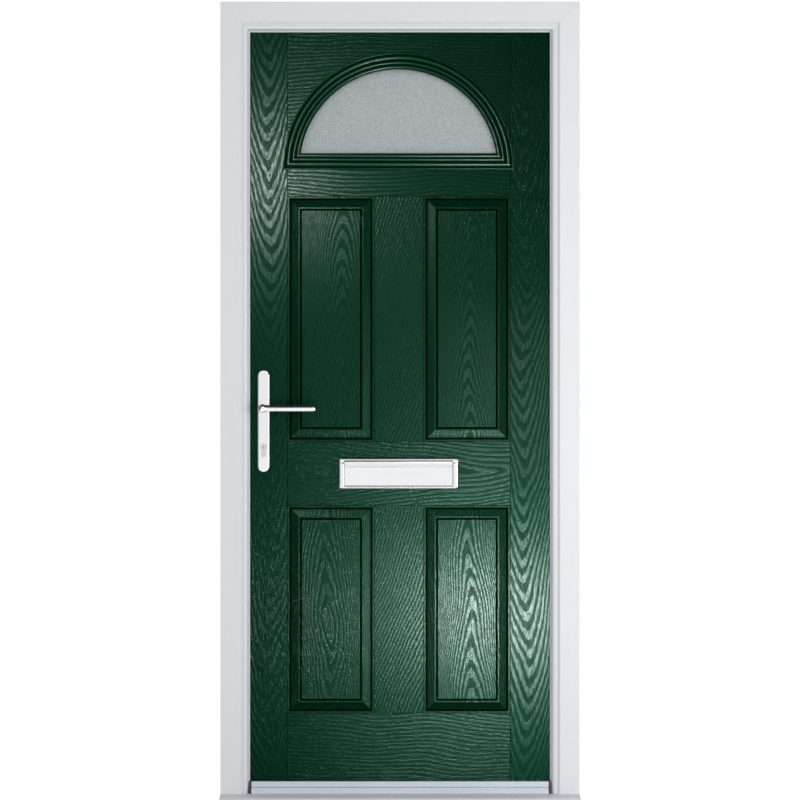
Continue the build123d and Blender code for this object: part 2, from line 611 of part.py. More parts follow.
def mitre_zones():
    """Where the arched part and the straight part of the ring each lie, split along the true mitre curve."""
    span = LIGHT_RADIUS + LIGHT_RISE
    reach = LIGHT_RADIUS + MOULDING_WIDTH + 25
    foot = (span * span - reach * reach) / (2 * span)
    pull = span / 2 + reach * reach / (2 * span)
    mitre = Bezier((-reach, foot), (0, pull), (reach, foot))
    above = make_face(mitre + Polyline((reach, foot), (reach, reach), (-reach, reach), (-reach, foot)))
    below = make_face(mitre + Polyline((reach, foot), (reach, -reach), (-reach, -reach), (-reach, foot)))
    return Pos(LIGHT_X, LIGHT_Z) * above, Pos(LIGHT_X, LIGHT_Z) * below


def moulded_ring():
    """The ring: a turned arch and a straight foot that meet in curved mitres."""
    profile = moulding_profile()
    arch_zone, foot_zone = mitre_zones()
    axis = Axis((LIGHT_X, 0, LIGHT_Z), (0, 1, 0))
    arch = revolve(Pos(LIGHT_X + LIGHT_RADIUS, 0, LIGHT_Z) * profile, axis)
    arch = arch & prism(arch_zone, FACE - 30, REAR)
    reach = LIGHT_RADIUS + MOULDING_WIDTH + 20
    foot = Pos(LIGHT_X - reach, 0, LIGHT_Z + LIGHT_RISE) * Rot(0, 90, 0) * extrude(profile, amount=2 * reach)
    foot = foot & prism(foot_zone, FACE - 30, REAR)
    return arch + foot


screw_edge = GLAZING_SCREW_EDGE
screw_radius = LIGHT_RADIUS + screw_edge
glazing_screw_places = [(LIGHT_X + screw_radius * cos(radians(a)), LIGHT_Z + screw_radius * sin(radians(a)))
                        for a in (18, 54, 90, 126, 162)]
foot_screw_x = LIGHT_RADIUS * 2 / 3
glazing_screw_places += [(LIGHT_X + x, LIGHT_Z + LIGHT_RISE - screw_edge) for x in (-foot_screw_x, 0, foot_screw_x)]
ring = moulded_ring()
bosses = [rod_y(x, z, FACE, leg_y, 4) for x, z in glazing_screw_places]
pilots = [rod_y(x, z, FACE + 4, leg_y + 1, 1.6) for x, z in glazing_screw_places]
parts["outer_glazing_frame"] = ring + bosses - pilots
screw_head_y = REAR + 2.4
screw_ways = [rod_y(x, z, leg_y - 1, REAR + 12, 2.1) for x, z in glazing_screw_places]
head_seats = [rod_y(x, z, screw_head_y - 2.2, REAR + 12, 4.4) for x, z in glazing_screw_places]
inner_bosses = [rod_y(x, z, MIDDLE + 0.5, REAR, 5) for x, z in glazing_screw_places]
parts["inner_glazing_frame"] = rear_copy(ring) + inner_bosses - screw_ways - head_seats
parts["glazing_screws"] = group([screw_y(x, z, screw_head_y, FACE + 6, 3.8, 1.5) for x, z in glazing_screw_places])
parts["glazing_screw_caps"] = group([rod_y(x, z, screw_head_y + 0.1, screw_head_y + 4.2, 4.3)
                                     for x, z in glazing_screw_places])
parts["outer_pane"] = prism(light_sketch(GLASS_COVER), glass_y0, glass_y0 + PANE)
parts["inner_pane"] = prism(light_sketch(GLASS_COVER), glass_y1 - PANE, glass_y1)
spacer_edge = GLASS_COVER - SPACER_COVER
spacer_sketch = light_sketch(spacer_edge) - light_sketch(spacer_edge - SPACER)
parts["spacer_bar"] = prism(spacer_sketch, glass_y0 + PANE, glass_y1 - PANE)
tape_sketch = light_sketch(GLASS_COVER - 1) - light_sketch(TAPE_SET_BACK)
outer_tape = prism(tape_sketch, bed_y, glass_y0)
parts["glazing_gaskets"] = group([outer_tape, rear_copy(outer_tape)])

# The letterplate: the same frame and flap on both faces, joined by a sleeve
rim_y = FACE - LETTER_RIM
base_y = FACE - LETTER_BASE
letter_left = LETTER_X - LETTER_WIDTH / 2
letter_right = LETTER_X + LETTER_WIDTH / 2
window_half = LETTER_WIDTH / 2 - LETTER_SIDE
window_top = LETTER_Z + LETTER_HEIGHT / 2 - LETTER_TOP_BAR
window_foot = LETTER_Z - LETTER_HEIGHT / 2 + LETTER_LIP
pin_reach = window_half + 9
letter_edge = Pos(LETTER_X, LETTER_Z) * RectangleRounded(LETTER_WIDTH, LETTER_HEIGHT, 6)
letter_slot = Pos(LETTER_X, SLOT_Z) * Rectangle(SLOT_WIDTH, SLOT_HEIGHT)
letter_window = Pos(LETTER_X, (window_top + window_foot) / 2) * Rectangle(2 * window_half, window_top - window_foot)
letter_frame = prism(letter_edge, rim_y, FACE)
letter_frame = chamfer(letter_frame.faces().sort_by(Axis.Y)[0].edges(), 2.6)
letter_frame -= prism(letter_window, rim_y - 1, base_y)
letter_frame -= prism(letter_slot, base_y - 1, FACE + 1)
letter_frame -= block(LETTER_X - window_half, LETTER_X + window_half, base_y - 1, FACE + 1,
                      ROLL_Z - FLAP_ROLL_RADIUS - 0.6, window_top)
for x in (LETTER_X - 31, LETTER_X + 31):
    letter_frame -= block(x - 5, x + 5, rim_y - 1, rim_y + 2, window_foot - 4.4, window_foot - 1)
letter_frame -= rod_x(LETTER_X - pin_reach - 3, LETTER_X + pin_reach + 3, ROLL_Y, ROLL_Z, FLAP_PIN_RADIUS + RUNNING)
spring_reach = pin_reach - 1
for side in (-1, 1):
    pocket = rod_x(window_half, spring_reach, ROLL_Y, ROLL_Z, 3.9)
    pocket += block(window_half, spring_reach, ROLL_Y, FACE + 1, ROLL_Z - 3.9, ROLL_Z + 3.9)
    pocket = Pos(LETTER_X, 0, 0) * (pocket if side > 0 else mirror(pocket, about=Plane.YZ))
    letter_frame -= pocket
rear_letter_frame = rear_copy(letter_frame)
letter_frame -= [rod_y(x, z, FACE - 7, FACE + 1, 1.7) for x, z in letter_screws]
parts["letterplate_outer_frame"] = letter_frame
screw_clear = [rod_y(x, z, REAR - 1, REAR + LETTER_RIM + 1, 2.2) for x, z in letter_screws]
screw_seat = [rod_y(x, z, REAR + LETTER_RIM - 3.2, REAR + LETTER_RIM + 1, 4.2) for x, z in letter_screws]
inner_letter_frame = rear_letter_frame - screw_clear - screw_seat
sleeve_edge = Pos(LETTER_X, SLOT_Z) * Rectangle(SLOT_WIDTH + 2 * sleeve_wall, SLOT_HEIGHT + 2 * sleeve_wall)
parts["letterplate_sleeve"] = prism(sleeve_edge - letter_slot, FACE, REAR)
brush_half = SLOT_WIDTH / 2 - 0.3
brush_low = block(LETTER_X - brush_half, LETTER_X + brush_half, REAR - 7, REAR - 2,
                  SLOT_Z - SLOT_HEIGHT / 2 + 0.3, SLOT_Z - 0.4)
brush_high = block(LETTER_X - brush_half, LETTER_X + brush_half, REAR - 7, REAR - 2,
                   SLOT_Z + 0.4, SLOT_Z + SLOT_HEIGHT / 2 - 0.3)
parts["letterplate_brush"] = group([brush_low, brush_high])
flap_face = rim_y + 1.0
flap_back = flap_face + 1.8
flap_foot = window_foot + 1.2
cove_top = ROLL_Z - 4.2
cove_foot = cove_top - 8
flap_half = window_half - 0.8
flap_section = [(ROLL_Y + 1.5, cove_top + 2), (ROLL_Y - 1.4, cove_top), (flap_back + 0.2, cove_foot + 1.6),
                (flap_face, cove_foot), (flap_face, flap_foot + 0.8), (flap_face + 0.8, flap_foot),
                (flap_back, flap_foot), (flap_back, cove_foot - 1), (ROLL_Y + 1.5, cove_foot + 3)]
flap = along_x(flap_section, LETTER_X - flap_half, LETTER_X + flap_half)
flap += rod_x(LETTER_X - flap_half, LETTER_X + flap_half, ROLL_Y, ROLL_Z, FLAP_ROLL_RADIUS)
flap += rod_x(LETTER_X - pin_reach, LETTER_X + pin_reach, ROLL_Y, ROLL_Z, FLAP_PIN_RADIUS)
parts["outer_flap"] = flap
parts["inner_flap"] = rear_copy(flap)
spring_tube = rod_x(window_half + 0.4, spring_reach - 0.4, ROLL_Y, ROLL_Z, 3.6) - rod_x(
    window_half, spring_reach, ROLL_Y, ROLL_Z, 2.2)
springs = [Pos(LETTER_X, 0, 0) * spring_tube, Pos(LETTER_X, 0, 0) * mirror(spring_tube, about=Plane.YZ)]
parts["flap_springs"] = group(springs + [rear_copy(spring) for spring in springs])

# The handles: a long plate on each face, with a lever on a square spindle
plate_front = FACE - PLATE_THICKNESS
plate_edge = Pos(SPINDLE_X, PLATE_Z) * Rot(0, 0, 90) * SlotOverall(PLATE_LENGTH, PLATE_WIDTH)
handle_plate = prism(plate_edge, plate_front, FACE)
handle_plate = fillet(handle_plate.faces().sort_by(Axis.Y)[0].edges(), 3.0)
handle_plate -= rod_y(SPINDLE_X, SPINDLE_Z, plate_front - 1, FACE + 1, LEVER_BOSS_RADIUS + RUNNING)
handle_plate -= prism(cylinder_profile(0.15), plate_front - 1, FACE + 1)
rear_plate = rear_copy(handle_plate)
parts["outer_handle_plate"] = handle_plate - [rod_y(SPINDLE_X, z, FACE - 7, FACE + 1, 2.1)
                                              for z in handle_screw_heights]
plate_ways = [rod_y(SPINDLE_X, z, REAR - 1, REAR + PLATE_THICKNESS + 1, 2.7) for z in handle_screw_heights]
plate_seats = [rod_y(SPINDLE_X, z, REAR + PLATE_THICKNESS - 3.4, REAR + PLATE_THICKNESS + 1, 4.4)
               for z in handle_screw_heights]
inner_handle_plate = rear_plate - plate_ways - plate_seats

neck_foot = plate_front - EASY
neck_front = LEVER_Y - LEVER_BAR_RADIUS - 2.4
neck_line = (Polyline((0, neck_front), (2.5, neck_front))
             + ThreePointArc((2.5, neck_front), (LEVER_NECK_RADIUS - 2.4, neck_front + 2.6),
                             (LEVER_NECK_RADIUS, neck_front + 8.6))
             + Polyline((LEVER_NECK_RADIUS, neck_front + 8.6), (LEVER_NECK_RADIUS - 0.6, LEVER_Y + 10),
                        (LEVER_NECK_RADIUS - 1.6, neck_foot - 3), (LEVER_NECK_RADIUS - 1.6, neck_foot),
                        (LEVER_BOSS_RADIUS, neck_foot), (LEVER_BOSS_RADIUS, FACE - 1), (0, FACE - 1),
                        (0, neck_front)))
neck = Pos(SPINDLE_X, 0, SPINDLE_Z) * revolve(make_face(neck_line), Axis.Y)
bar_end = SPINDLE_X + LEVER_LENGTH
lever = neck + rod_x(SPINDLE_X, bar_end, LEVER_Y, SPINDLE_Z, LEVER_BAR_RADIUS)
lever += Pos(bar_end, LEVER_Y, SPINDLE_Z) * Sphere(LEVER_BAR_RADIUS)
spindle_half = SPINDLE / 2
spindle_y0 = FACE - 9
spindle_y1 = REAR + 9
socket = block(SPINDLE_X - spindle_half, SPINDLE_X + spindle_half, spindle_y0, FACE + 1,
               SPINDLE_Z - spindle_half, SPINDLE_Z + spindle_half)
lever -= socket
parts["outer_lever"] = lever
parts["inner_lever"] = rear_copy(lever)
parts["spindle"] = block(SPINDLE_X - spindle_half, SPINDLE_X + spindle_half, spindle_y0, spindle_y1,
                         SPINDLE_Z - spindle_half, SPINDLE_Z + spindle_half)
furniture = [screw_y(SPINDLE_X, z, REAR + PLATE_THICKNESS - 3.3, FACE - 6, 4.2, 2.0) for z in handle_screw_heights]
furniture += [screw_y(x, z, REAR + LETTER_RIM - 3.1, FACE - 6, 4.0, 1.6) for x, z in letter_screws]
parts["furniture_screws"] = group(furniture)
parts["inner_handle_plate"] = inner_handle_plate - furniture
parts["letterplate_inner_frame"] = inner_letter_frame - furniture

# The lock: a faceplate on the leaf's edge, a case in the middle and a hook case near each end
face_y0 = MIDDLE - FACEPLATE_WIDTH / 2
face_y1 = MIDDLE + FACEPLATE_WIDTH / 2
faceplate = block(LOCK_EDGE, plate_back, face_y0, face_y1, FACEPLATE_BOTTOM, FACEPLATE_TOP)
latch_half = LATCH_HEIGHT / 2
bolt_half = BOLT_HEIGHT / 2
latch_y = 5.8
bolt_y = 5.0
hook_y = 4.5
faceplate -= block(LOCK_EDGE - 1, plate_back + 1, MIDDLE - latch_y - EASY, MIDDLE + latch_y + EASY,
                   LATCH_Z - latch_half - EASY, LATCH_Z + latch_half + EASY)
faceplate -= block(LOCK_EDGE - 1, plate_back + 1, MIDDLE - bolt_y - EASY, MIDDLE + bolt_y + EASY,
                   BOLT_Z - bolt_half - EASY, BOLT_Z + bolt_half + EASY)
for z in (HOOK_TOP_Z, HOOK_BOTTOM_Z):
    faceplate -= block(LOCK_EDGE - 1, plate_back + 1, MIDDLE - hook_y - EASY, MIDDLE + hook_y + EASY,
                       z - 9, z + HOOK_REACH - 1)
lobe_z = CYLINDER_Z - (CYLINDER_HEIGHT - CYLINDER_RADIUS) + 4.4
cylinder_screw = screw_x(MIDDLE, lobe_z, LOCK_EDGE + 0.1, SPINDLE_X + 4, 4.2, 2.3)
lock_screws.append(cylinder_screw)
parts["lock_faceplate"] = faceplate - lock_screws
parts["lock_screws"] = group(lock_screws)


def lock_case(z0, z1, depth):
    """A folded steel case, open towards the faceplate."""
    case = block(plate_back, plate_back + depth, case_y0, case_y1, z0, z1)
    hollow = block(plate_back - 1, plate_back + depth - CASE_WALL, case_y0 + CASE_WALL, case_y1 - CASE_WALL,
                   z0 + CASE_WALL, z1 - CASE_WALL)
    return case - hollow


gearbox = lock_case(CASE_BOTTOM, CASE_TOP, case_back - plate_back)
gearbox -= rod_y(SPINDLE_X, SPINDLE_Z, case_y0 - 1, case_y1 + 1, 9 + RUNNING)
gearbox -= prism(cylinder_profile(0.2), case_y0 - 1, case_y1 + 1)
parts["gearbox_case"] = gearbox
hook_cases = []
for z in (HOOK_TOP_Z, HOOK_BOTTOM_Z):
    hook_case = lock_case(z - hook_case_low, z + hook_case_high, hook_case_depth)
    hook_case += rod_y(PIVOT_X, z, case_y0, case_y1, 3.5)
    hook_cases.append(hook_case)
parts["hook_cases"] = group(hook_cases)

nose_x = LOCK_EDGE - LATCH_THROW
latch_plan = [(nose_x, MIDDLE + latch_y), (nose_x + 2, MIDDLE + latch_y - 3.4), (LOCK_EDGE - 0.5, MIDDLE - latch_y),
              (plate_back + 20, MIDDLE - latch_y), (plate_back + 20, MIDDLE + latch_y)]
latch = Pos(0, 0, LATCH_Z - latch_half) * extrude(outline(*latch_plan), amount=LATCH_HEIGHT)
tail_end = SPINDLE_X + 10
latch += block(plate_back + 19, tail_end, MIDDLE - 3, MIDDLE + 3, LATCH_Z, LATCH_Z + 8)
latch += block(SPINDLE_X + 3.6, SPINDLE_X + 9, MIDDLE - 3, MIDDLE + 3, LATCH_Z - 9.5, LATCH_Z + 1)
parts["latch_bolt"] = latch
hub = rod_y(SPINDLE_X, SPINDLE_Z, case_y0, case_y1, 9)
hub += rod_y(SPINDLE_X, SPINDLE_Z, MIDDLE - 4, MIDDLE + 4, 10.6)
hub += block(SPINDLE_X - 3, SPINDLE_X + 3, MIDDLE - 3, MIDDLE + 3, SPINDLE_Z, SPINDLE_Z + 16)
parts["follower"] = hub - parts["spindle"]
parts["deadbolt"] = block(LOCK_EDGE + 0.5, LOCK_EDGE + 44, MIDDLE - bolt_y, MIDDLE + bolt_y,
                          BOLT_Z - bolt_half, BOLT_Z + bolt_half)
rod_x0 = plate_back + EASY
rod_x1 = rod_x0 + rod_thickness
rod_spans = ((CASE_TOP + 4, HOOK_TOP_Z - hook_case_low - BOLT_THROW - 2),
             (HOOK_BOTTOM_Z + hook_case_high + 2, CASE_BOTTOM - BOLT_THROW - 3))
rods = []
for z0, z1 in rod_spans:
    drive = block(rod_x0, rod_x1, rod_y0, rod_y1, z0, z1)
    for z in lock_screw_heights:
        if z0 < z < z1:
            drive -= block(rod_x0 - 1, rod_x1 + 1, MIDDLE - 2.6, MIDDLE + 2.6, z - BOLT_THROW - 4, z + 4)
    rods.append(drive)
parts["drive_rods"] = group(rods)


def hook(z):
    """A hook bolt folded up into its case, its nose turned to the leaf."""
    arm = outline((-6, 0), (6, 0), (6, HOOK_REACH - 9), (14, HOOK_REACH - 11), (14, HOOK_REACH - 3),
                  (8, HOOK_REACH), (-3, HOOK_REACH), (-6, HOOK_REACH - 4))
    plate = prism(Pos(PIVOT_X, z) * (arm + Circle(8)), MIDDLE - hook_y, MIDDLE + hook_y)
    return plate - rod_y(PIVOT_X, z, MIDDLE - 9, MIDDLE + 9, 3.5 + RUNNING)


parts["hook_top"] = hook(HOOK_TOP_Z)
parts["hook_bottom"] = hook(HOOK_BOTTOM_Z)

# The key cylinder: one body through the leaf, a keyed plug outside and a thumbturn inside
cylinder_y0 = plate_front - 2
cylinder_y1 = REAR + PLATE_THICKNESS + 1
cam_half = 5.0
body = prism(cylinder_profile(0), cylinder_y0, cylinder_y1)
body -= rod_y(SPINDLE_X, CYLINDER_Z, cylinder_y0 - 1, cylinder_y1 + 1, PLUG_RADIUS + RUNNING)
body -= rod_y(SPINDLE_X, CYLINDER_Z, MIDDLE - cam_half, MIDDLE + cam_half, 15.6)
body -= cylinder_screw
parts["cylinder_body"] = body
key_plug = rod_y(SPINDLE_X, CYLINDER_Z, cylinder_y0 - 0.4, MIDDLE - cam_half + 0.3, PLUG_RADIUS)
key_plug -= block(SPINDLE_X - 1.1, SPINDLE_X + 1.1, cylinder_y0 - 1, cylinder_y0 + 14,
                  CYLINDER_Z - 4, CYLINDER_Z + 4)
parts["key_plug"] = key_plug
cam = rod_y(SPINDLE_X, CYLINDER_Z, MIDDLE - cam_half + 0.6, MIDDLE + cam_half - 0.4, 8.2)
cam += block(SPINDLE_X - 3.6, SPINDLE_X + 3.6, MIDDLE - cam_half + 0.6, MIDDLE + cam_half - 0.4,
             CYLINDER_Z - 15, CYLINDER_Z)
parts["cylinder_cam"] = cam
turn = rod_y(SPINDLE_X, CYLINDER_Z, MIDDLE + cam_half - 0.4, cylinder_y1 + 2, PLUG_RADIUS)
turn += rod_y(SPINDLE_X, CYLINDER_Z, cylinder_y1 + 0.6, cylinder_y1 + 7, 8.5)
knob = prism(Pos(SPINDLE_X, CYLINDER_Z) * Rot(0, 0, 90) * SlotOverall(30, 9), cylinder_y1 + 6, cylinder_y1 + 22)
parts["thumbturn"] = turn + fillet(knob.faces().sort_by(Axis.Y)[-1].edges(), 2.0)

# Keeps on the lock jamb
keep_x0 = -REBATE
keep_x1 = -REBATE + KEEP_THICKNESS
keep_y0 = MIDDLE - KEEP_WIDTH / 2
keep_y1 = MIDDLE + KEEP_WIDTH / 2
frame_screws = []


def keep(z0, z1, windows, screw_heights):
    """A flat keep with openings, screwed through the wall of the jamb."""
    plate = block(keep_x0, keep_x1, keep_y0, keep_y1, z0, z1)
    for low, high in windows:
        plate -= block(keep_x0 - 1, keep_x1 + 1, MIDDLE - 7, MIDDLE + 7, low, high)
    for z in screw_heights:
        screw = screw_x(MIDDLE, z, keep_x1 - 0.1, keep_x0 - 9, 3.6, 1.9)
        frame_screws.append(screw)
        plate -= screw
    return plate


parts["latch_keep"] = keep(BOLT_Z - 34, LATCH_Z + 34, (
    (LATCH_Z - latch_half - 2, LATCH_Z + latch_half + 2), (BOLT_Z - bolt_half - 2, BOLT_Z + bolt_half + 2)),
    (BOLT_Z - KEEP_SCREW, (BOLT_Z + LATCH_Z) / 2, LATCH_Z + KEEP_SCREW))
parts["hook_keeps"] = group([keep(z - 30, z + 60, ((z - 10, z + HOOK_REACH - 4),), (z - 20, z + 50))
                             for z in (HOOK_TOP_Z, HOOK_BOTTOM_Z)])

# Three flag hinges on the room side
half_hinge = HINGE_LENGTH / 2
split = -8.0
barrel_x = HINGE_X
tangent_y = HINGE_Y - BARREL_RADIUS


def hinge_plan(points, z0, z1):
    """A plate seen from above, standing between two heights."""
    return Pos(0, 0, z0) * extrude(outline(*points), amount=z1 - z0)


frame_web = [(barrel_x, tangent_y + 0.3), (barrel_x + 13, BACK), (barrel_x + 13 + HINGE_FLAG, BACK),
             (barrel_x + 13 + HINGE_FLAG, BACK + HINGE_LEAF), (barrel_x + 19, BACK + HINGE_LEAF),
             (barrel_x + 3.5, HINGE_Y + 8.2)]
frame_plate = [(barrel_x + 13, BACK), (barrel_x + 13 + HINGE_FLAG, BACK),
               (barrel_x + 13 + HINGE_FLAG, BACK + HINGE_LEAF), (barrel_x + 13, BACK + HINGE_LEAF)]
door_web = [(barrel_x, tangent_y + 0.3), (barrel_x - 13, REAR), (barrel_x - 13 - HINGE_FLAG, REAR),
            (barrel_x - 13 - HINGE_FLAG, REAR + HINGE_LEAF), (barrel_x - 18, REAR + HINGE_LEAF),
            (barrel_x - 3.5, HINGE_Y + 8.2)]
door_plate = [(barrel_x - 13, REAR), (barrel_x - 13 - HINGE_FLAG, REAR),
              (barrel_x - 13 - HINGE_FLAG, REAR + HINGE_LEAF), (barrel_x - 13, REAR + HINGE_LEAF)]
frame_leaves = []
door_leaves = []
hinge_pins = []
door_screws = []
for height in HINGE_HEIGHTS:
    lower = Pos(barrel_x, HINGE_Y, height + (split - half_hinge) / 2) * Cylinder(BARREL_RADIUS, split + half_hinge)
    upper = Pos(barrel_x, HINGE_Y, height + (split + 0.6 + half_hinge) / 2) * Cylinder(
        BARREL_RADIUS, half_hinge - split - 0.6)
    frame_leaf = lower + hinge_plan(frame_web, height - half_hinge, height + split)
    frame_leaf += hinge_plan(frame_plate, height - half_hinge, height + half_hinge)
    door_leaf = upper + hinge_plan(door_web, height + split + 0.6, height + half_hinge)
    door_leaf += hinge_plan(door_plate, height - half_hinge, height + half_hinge)
    pin = Pos(barrel_x, HINGE_Y, height) * Cylinder(HINGE_PIN_RADIUS, HINGE_LENGTH - 4)
    frame_leaf -= Pos(barrel_x, HINGE_Y, height) * Cylinder(HINGE_PIN_RADIUS, HINGE_LENGTH - 4)
    door_leaf -= Pos(barrel_x, HINGE_Y, height) * Cylinder(HINGE_PIN_RADIUS + RUNNING, HINGE_LENGTH - 3.6)
    for z in (height - HINGE_SCREW_STEP, height, height + HINGE_SCREW_STEP):
        frame_screw = screw_y(barrel_x + HINGE_SCREW_X, z, BACK + HINGE_LEAF - 0.1,
                              BACK - HINGE_SCREW + 2, 4.2, 2.1)
        door_screw = screw_y(barrel_x - HINGE_SCREW_X, z, REAR + HINGE_LEAF - 0.1,
                             REAR - HINGE_SCREW, 4.2, 2.1)
        frame_screws.append(frame_screw)
        door_screws.append(door_screw)
        frame_leaf -= frame_screw
        door_leaf -= door_screw
    frame_leaves.append(frame_leaf)
    door_leaves.append(door_leaf)
    hinge_pins.append(pin)
parts["hinge_frame_leaves"] = group(frame_leaves)
parts["hinge_door_leaves"] = group(door_leaves)
parts["hinge_pins"] = group(hinge_pins)
parts["hinge_door_screws"] = group(door_screws)
parts["frame_screws"] = group(frame_screws)
parts["inner_skin"] -= door_screws
parts["hinge_stile"] = hinge_stile - door_screws
parts["frame_jamb_hinge_side"] -= frame_screws
parts["frame_jamb_lock_side"] -= frame_screws
parts["frame_reinforcement"] = group([lock_steel - frame_screws, head_steel, hinge_steel - frame_screws])

for name, solid in parts.items():
    export_step(solid, f"parts/{name}.step")
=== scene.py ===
# %% [markdown]
# # A panelled front door in its frame
#
# The door set is already solid: every piece of it, from the cill to the lock's hooks, was packed as a CAD
# model. This script dresses those solids. It gives each piece the finish of the real material, grows the
# bristles and winds the springs that a solid can't show well, and sets up a photographer's plain white room.
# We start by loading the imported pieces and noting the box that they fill.

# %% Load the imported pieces
import math

import bmesh
import bpy
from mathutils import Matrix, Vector


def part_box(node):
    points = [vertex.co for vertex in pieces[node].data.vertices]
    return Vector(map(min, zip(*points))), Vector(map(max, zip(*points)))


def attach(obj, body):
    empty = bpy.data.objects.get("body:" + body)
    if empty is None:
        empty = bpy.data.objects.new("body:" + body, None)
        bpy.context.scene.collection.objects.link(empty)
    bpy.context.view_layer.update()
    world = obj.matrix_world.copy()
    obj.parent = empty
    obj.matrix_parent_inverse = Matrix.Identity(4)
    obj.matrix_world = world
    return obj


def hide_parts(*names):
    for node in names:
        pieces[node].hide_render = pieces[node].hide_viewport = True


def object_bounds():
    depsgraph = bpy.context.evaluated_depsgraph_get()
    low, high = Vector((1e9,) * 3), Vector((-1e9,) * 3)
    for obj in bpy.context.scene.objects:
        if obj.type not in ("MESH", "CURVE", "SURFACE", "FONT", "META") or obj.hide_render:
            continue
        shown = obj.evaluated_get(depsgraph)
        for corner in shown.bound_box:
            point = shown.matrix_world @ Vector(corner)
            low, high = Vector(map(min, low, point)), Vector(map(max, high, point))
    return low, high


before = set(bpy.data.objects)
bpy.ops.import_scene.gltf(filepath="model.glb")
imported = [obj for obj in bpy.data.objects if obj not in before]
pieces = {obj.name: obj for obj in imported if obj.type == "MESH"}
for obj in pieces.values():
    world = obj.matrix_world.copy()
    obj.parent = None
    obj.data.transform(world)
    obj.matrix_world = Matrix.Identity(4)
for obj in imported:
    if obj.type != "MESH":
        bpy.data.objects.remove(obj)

solid_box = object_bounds()
print(len(pieces), "pieces fill", [round(side, 3) for side in solid_box[1] - solid_box[0]], "m")

# %% [markdown]
# ## Small tools for building materials
#
# A procedural material is a graph: patterns flow through sums into the sockets of one shader. Writing each
# node out in full hides that flow, so small helpers keep the finishes below readable. The first adds a node
# with its inputs, the next do a sum, a blend and a soft step, and the rest give a pattern, a relief or a whole
# material.

# %% Helpers for shader graphs
MIX_SOCKETS = {"FLOAT": (2, 3, 0), "VECTOR": (4, 5, 1), "RGBA": (6, 7, 2)}


def add(tree, kind, inputs=None, **settings):
    """Adds a node. An input may be a plain value or another node's output."""
    node = tree.nodes.new(kind)
    for name, value in settings.items():
        setattr(node, name, value)
    for name, value in (inputs or {}).items():
        if isinstance(value, bpy.types.NodeSocket):
            tree.links.new(value, node.inputs[name])
        else:
            node.inputs[name].default_value = value
    return node


def calc(tree, operation, *values):
    """One sum on numbers, such as calc(tree, "ADD", a, b)."""
    return add(tree, "ShaderNodeMath", dict(enumerate(values)), operation=operation).outputs[0]


def mix(tree, kind, factor, low, high):
    """A blend from low to high, where kind is FLOAT, VECTOR or RGBA."""
    low_socket, high_socket, result = MIX_SOCKETS[kind]
    node = add(tree, "ShaderNodeMix", {0: factor, low_socket: low, high_socket: high}, data_type=kind)
    return node.outputs[result]


def ease(tree, value, start, end):
    """A soft step: 0 below start, 1 above end."""
    node = add(tree, "ShaderNodeMapRange", {"Value": value, "From Min": start, "From Max": end},
               interpolation_type="SMOOTHSTEP")
    return node.outputs[0]


def place(tree, scale=(1, 1, 1)):
    """Object coordinates in metres, stretched for a pattern: a large scale makes it fine in that direction."""
    coordinates = add(tree, "ShaderNodeTexCoord").outputs["Object"]
    return add(tree, "ShaderNodeMapping", {"Vector": coordinates, "Scale": scale}).outputs[0]


def noise(tree, vector, scale=1.0, detail=2.0, roughness=0.5):
    """A cloudy pattern from 0 to 1, with its middle at a half."""
    return add(tree, "ShaderNodeTexNoise",
               {"Vector": vector, "Scale": scale, "Detail": detail, "Roughness": roughness}).outputs[0]


def relief(tree, height, depth, edge=0.0):
    """Turns a height from 0 to 1 into a bump depth metres deep, and rounds sharp edges by edge metres."""
    bump = add(tree, "ShaderNodeBump", {"Height": height, "Strength": 1.0, "Distance": depth})
    if edge:
        rounded = add(tree, "ShaderNodeBevel", {"Radius": edge}, samples=4).outputs[0]
        tree.links.new(rounded, bump.inputs["Normal"])
    return bump.outputs[0]


def new_finish(name, **sockets):
    """A material with one shader, whose plain sockets are set by name. Returns it with its graph and shader."""
    finish = bpy.data.materials.new(name)
    finish.use_nodes = True
    shader = finish.node_tree.nodes["Principled BSDF"]
    for socket, value in sockets.items():
        shader.inputs[socket.replace("_", " ")].default_value = value
    return finish, finish.node_tree, shader


def feed(tree, shader, **outputs):
    """Links pattern outputs to the shader's sockets, such as feed(tree, shader, Roughness=streaks)."""
    for socket, output in outputs.items():
        tree.links.new(output, shader.inputs[socket.replace("_", " ")])


def dress(finish, *names):
    """Gives one finish to the CAD pieces named."""
    for name in names:
        mesh = pieces[name].data
        mesh.materials.clear()
        mesh.materials.append(finish)
    print(finish.name, "on", len(names), "pieces")


# %% [markdown]
# ## The embossed green skin
#
# The skins are pressed from glass-fibre sheet against a mould taken from real timber, so each "board" has its
# own figure: nested points down the stiles, arches up the top panels, ovals in a lower panel, and fine level
# lines along the rails. A growth ring in a sawn board is where a cone cuts the face. Its outline is roughly
# distance along the board plus steepness times distance across it. That gives points, arches or ovals
# according to where the heart of the figure lies: above the board, below it, or on it. Two more numbers tune
# it: run says how fast rings follow each other along the board, and crowding packs them closer at its sides.
#
# First every place on the face needs to know which board it is on. Two chains of mixes do that: each board
# that holds the point puts in its own coordinates, counted from its own heart, and its own three numbers.

# %% Which board a point is on
STILE_LINES = (-0.290, 0.284)
MULLION_LINES = (-0.066, 0.061)
TOP_RAIL, LOCK_RAIL, BOTTOM_RAIL = (1.5647, 2.0), (0.7678, 0.9327), (0.0, 0.2325)
SIDE_EDGE = 0.42
LEFT_PANEL = (STILE_LINES[0], MULLION_LINES[0])
RIGHT_PANEL = (MULLION_LINES[1], STILE_LINES[1])
UPPER = (LOCK_RAIL[1], TOP_RAIL[0])
LOWER = (BOTTOM_RAIL[1], LOCK_RAIL[0])
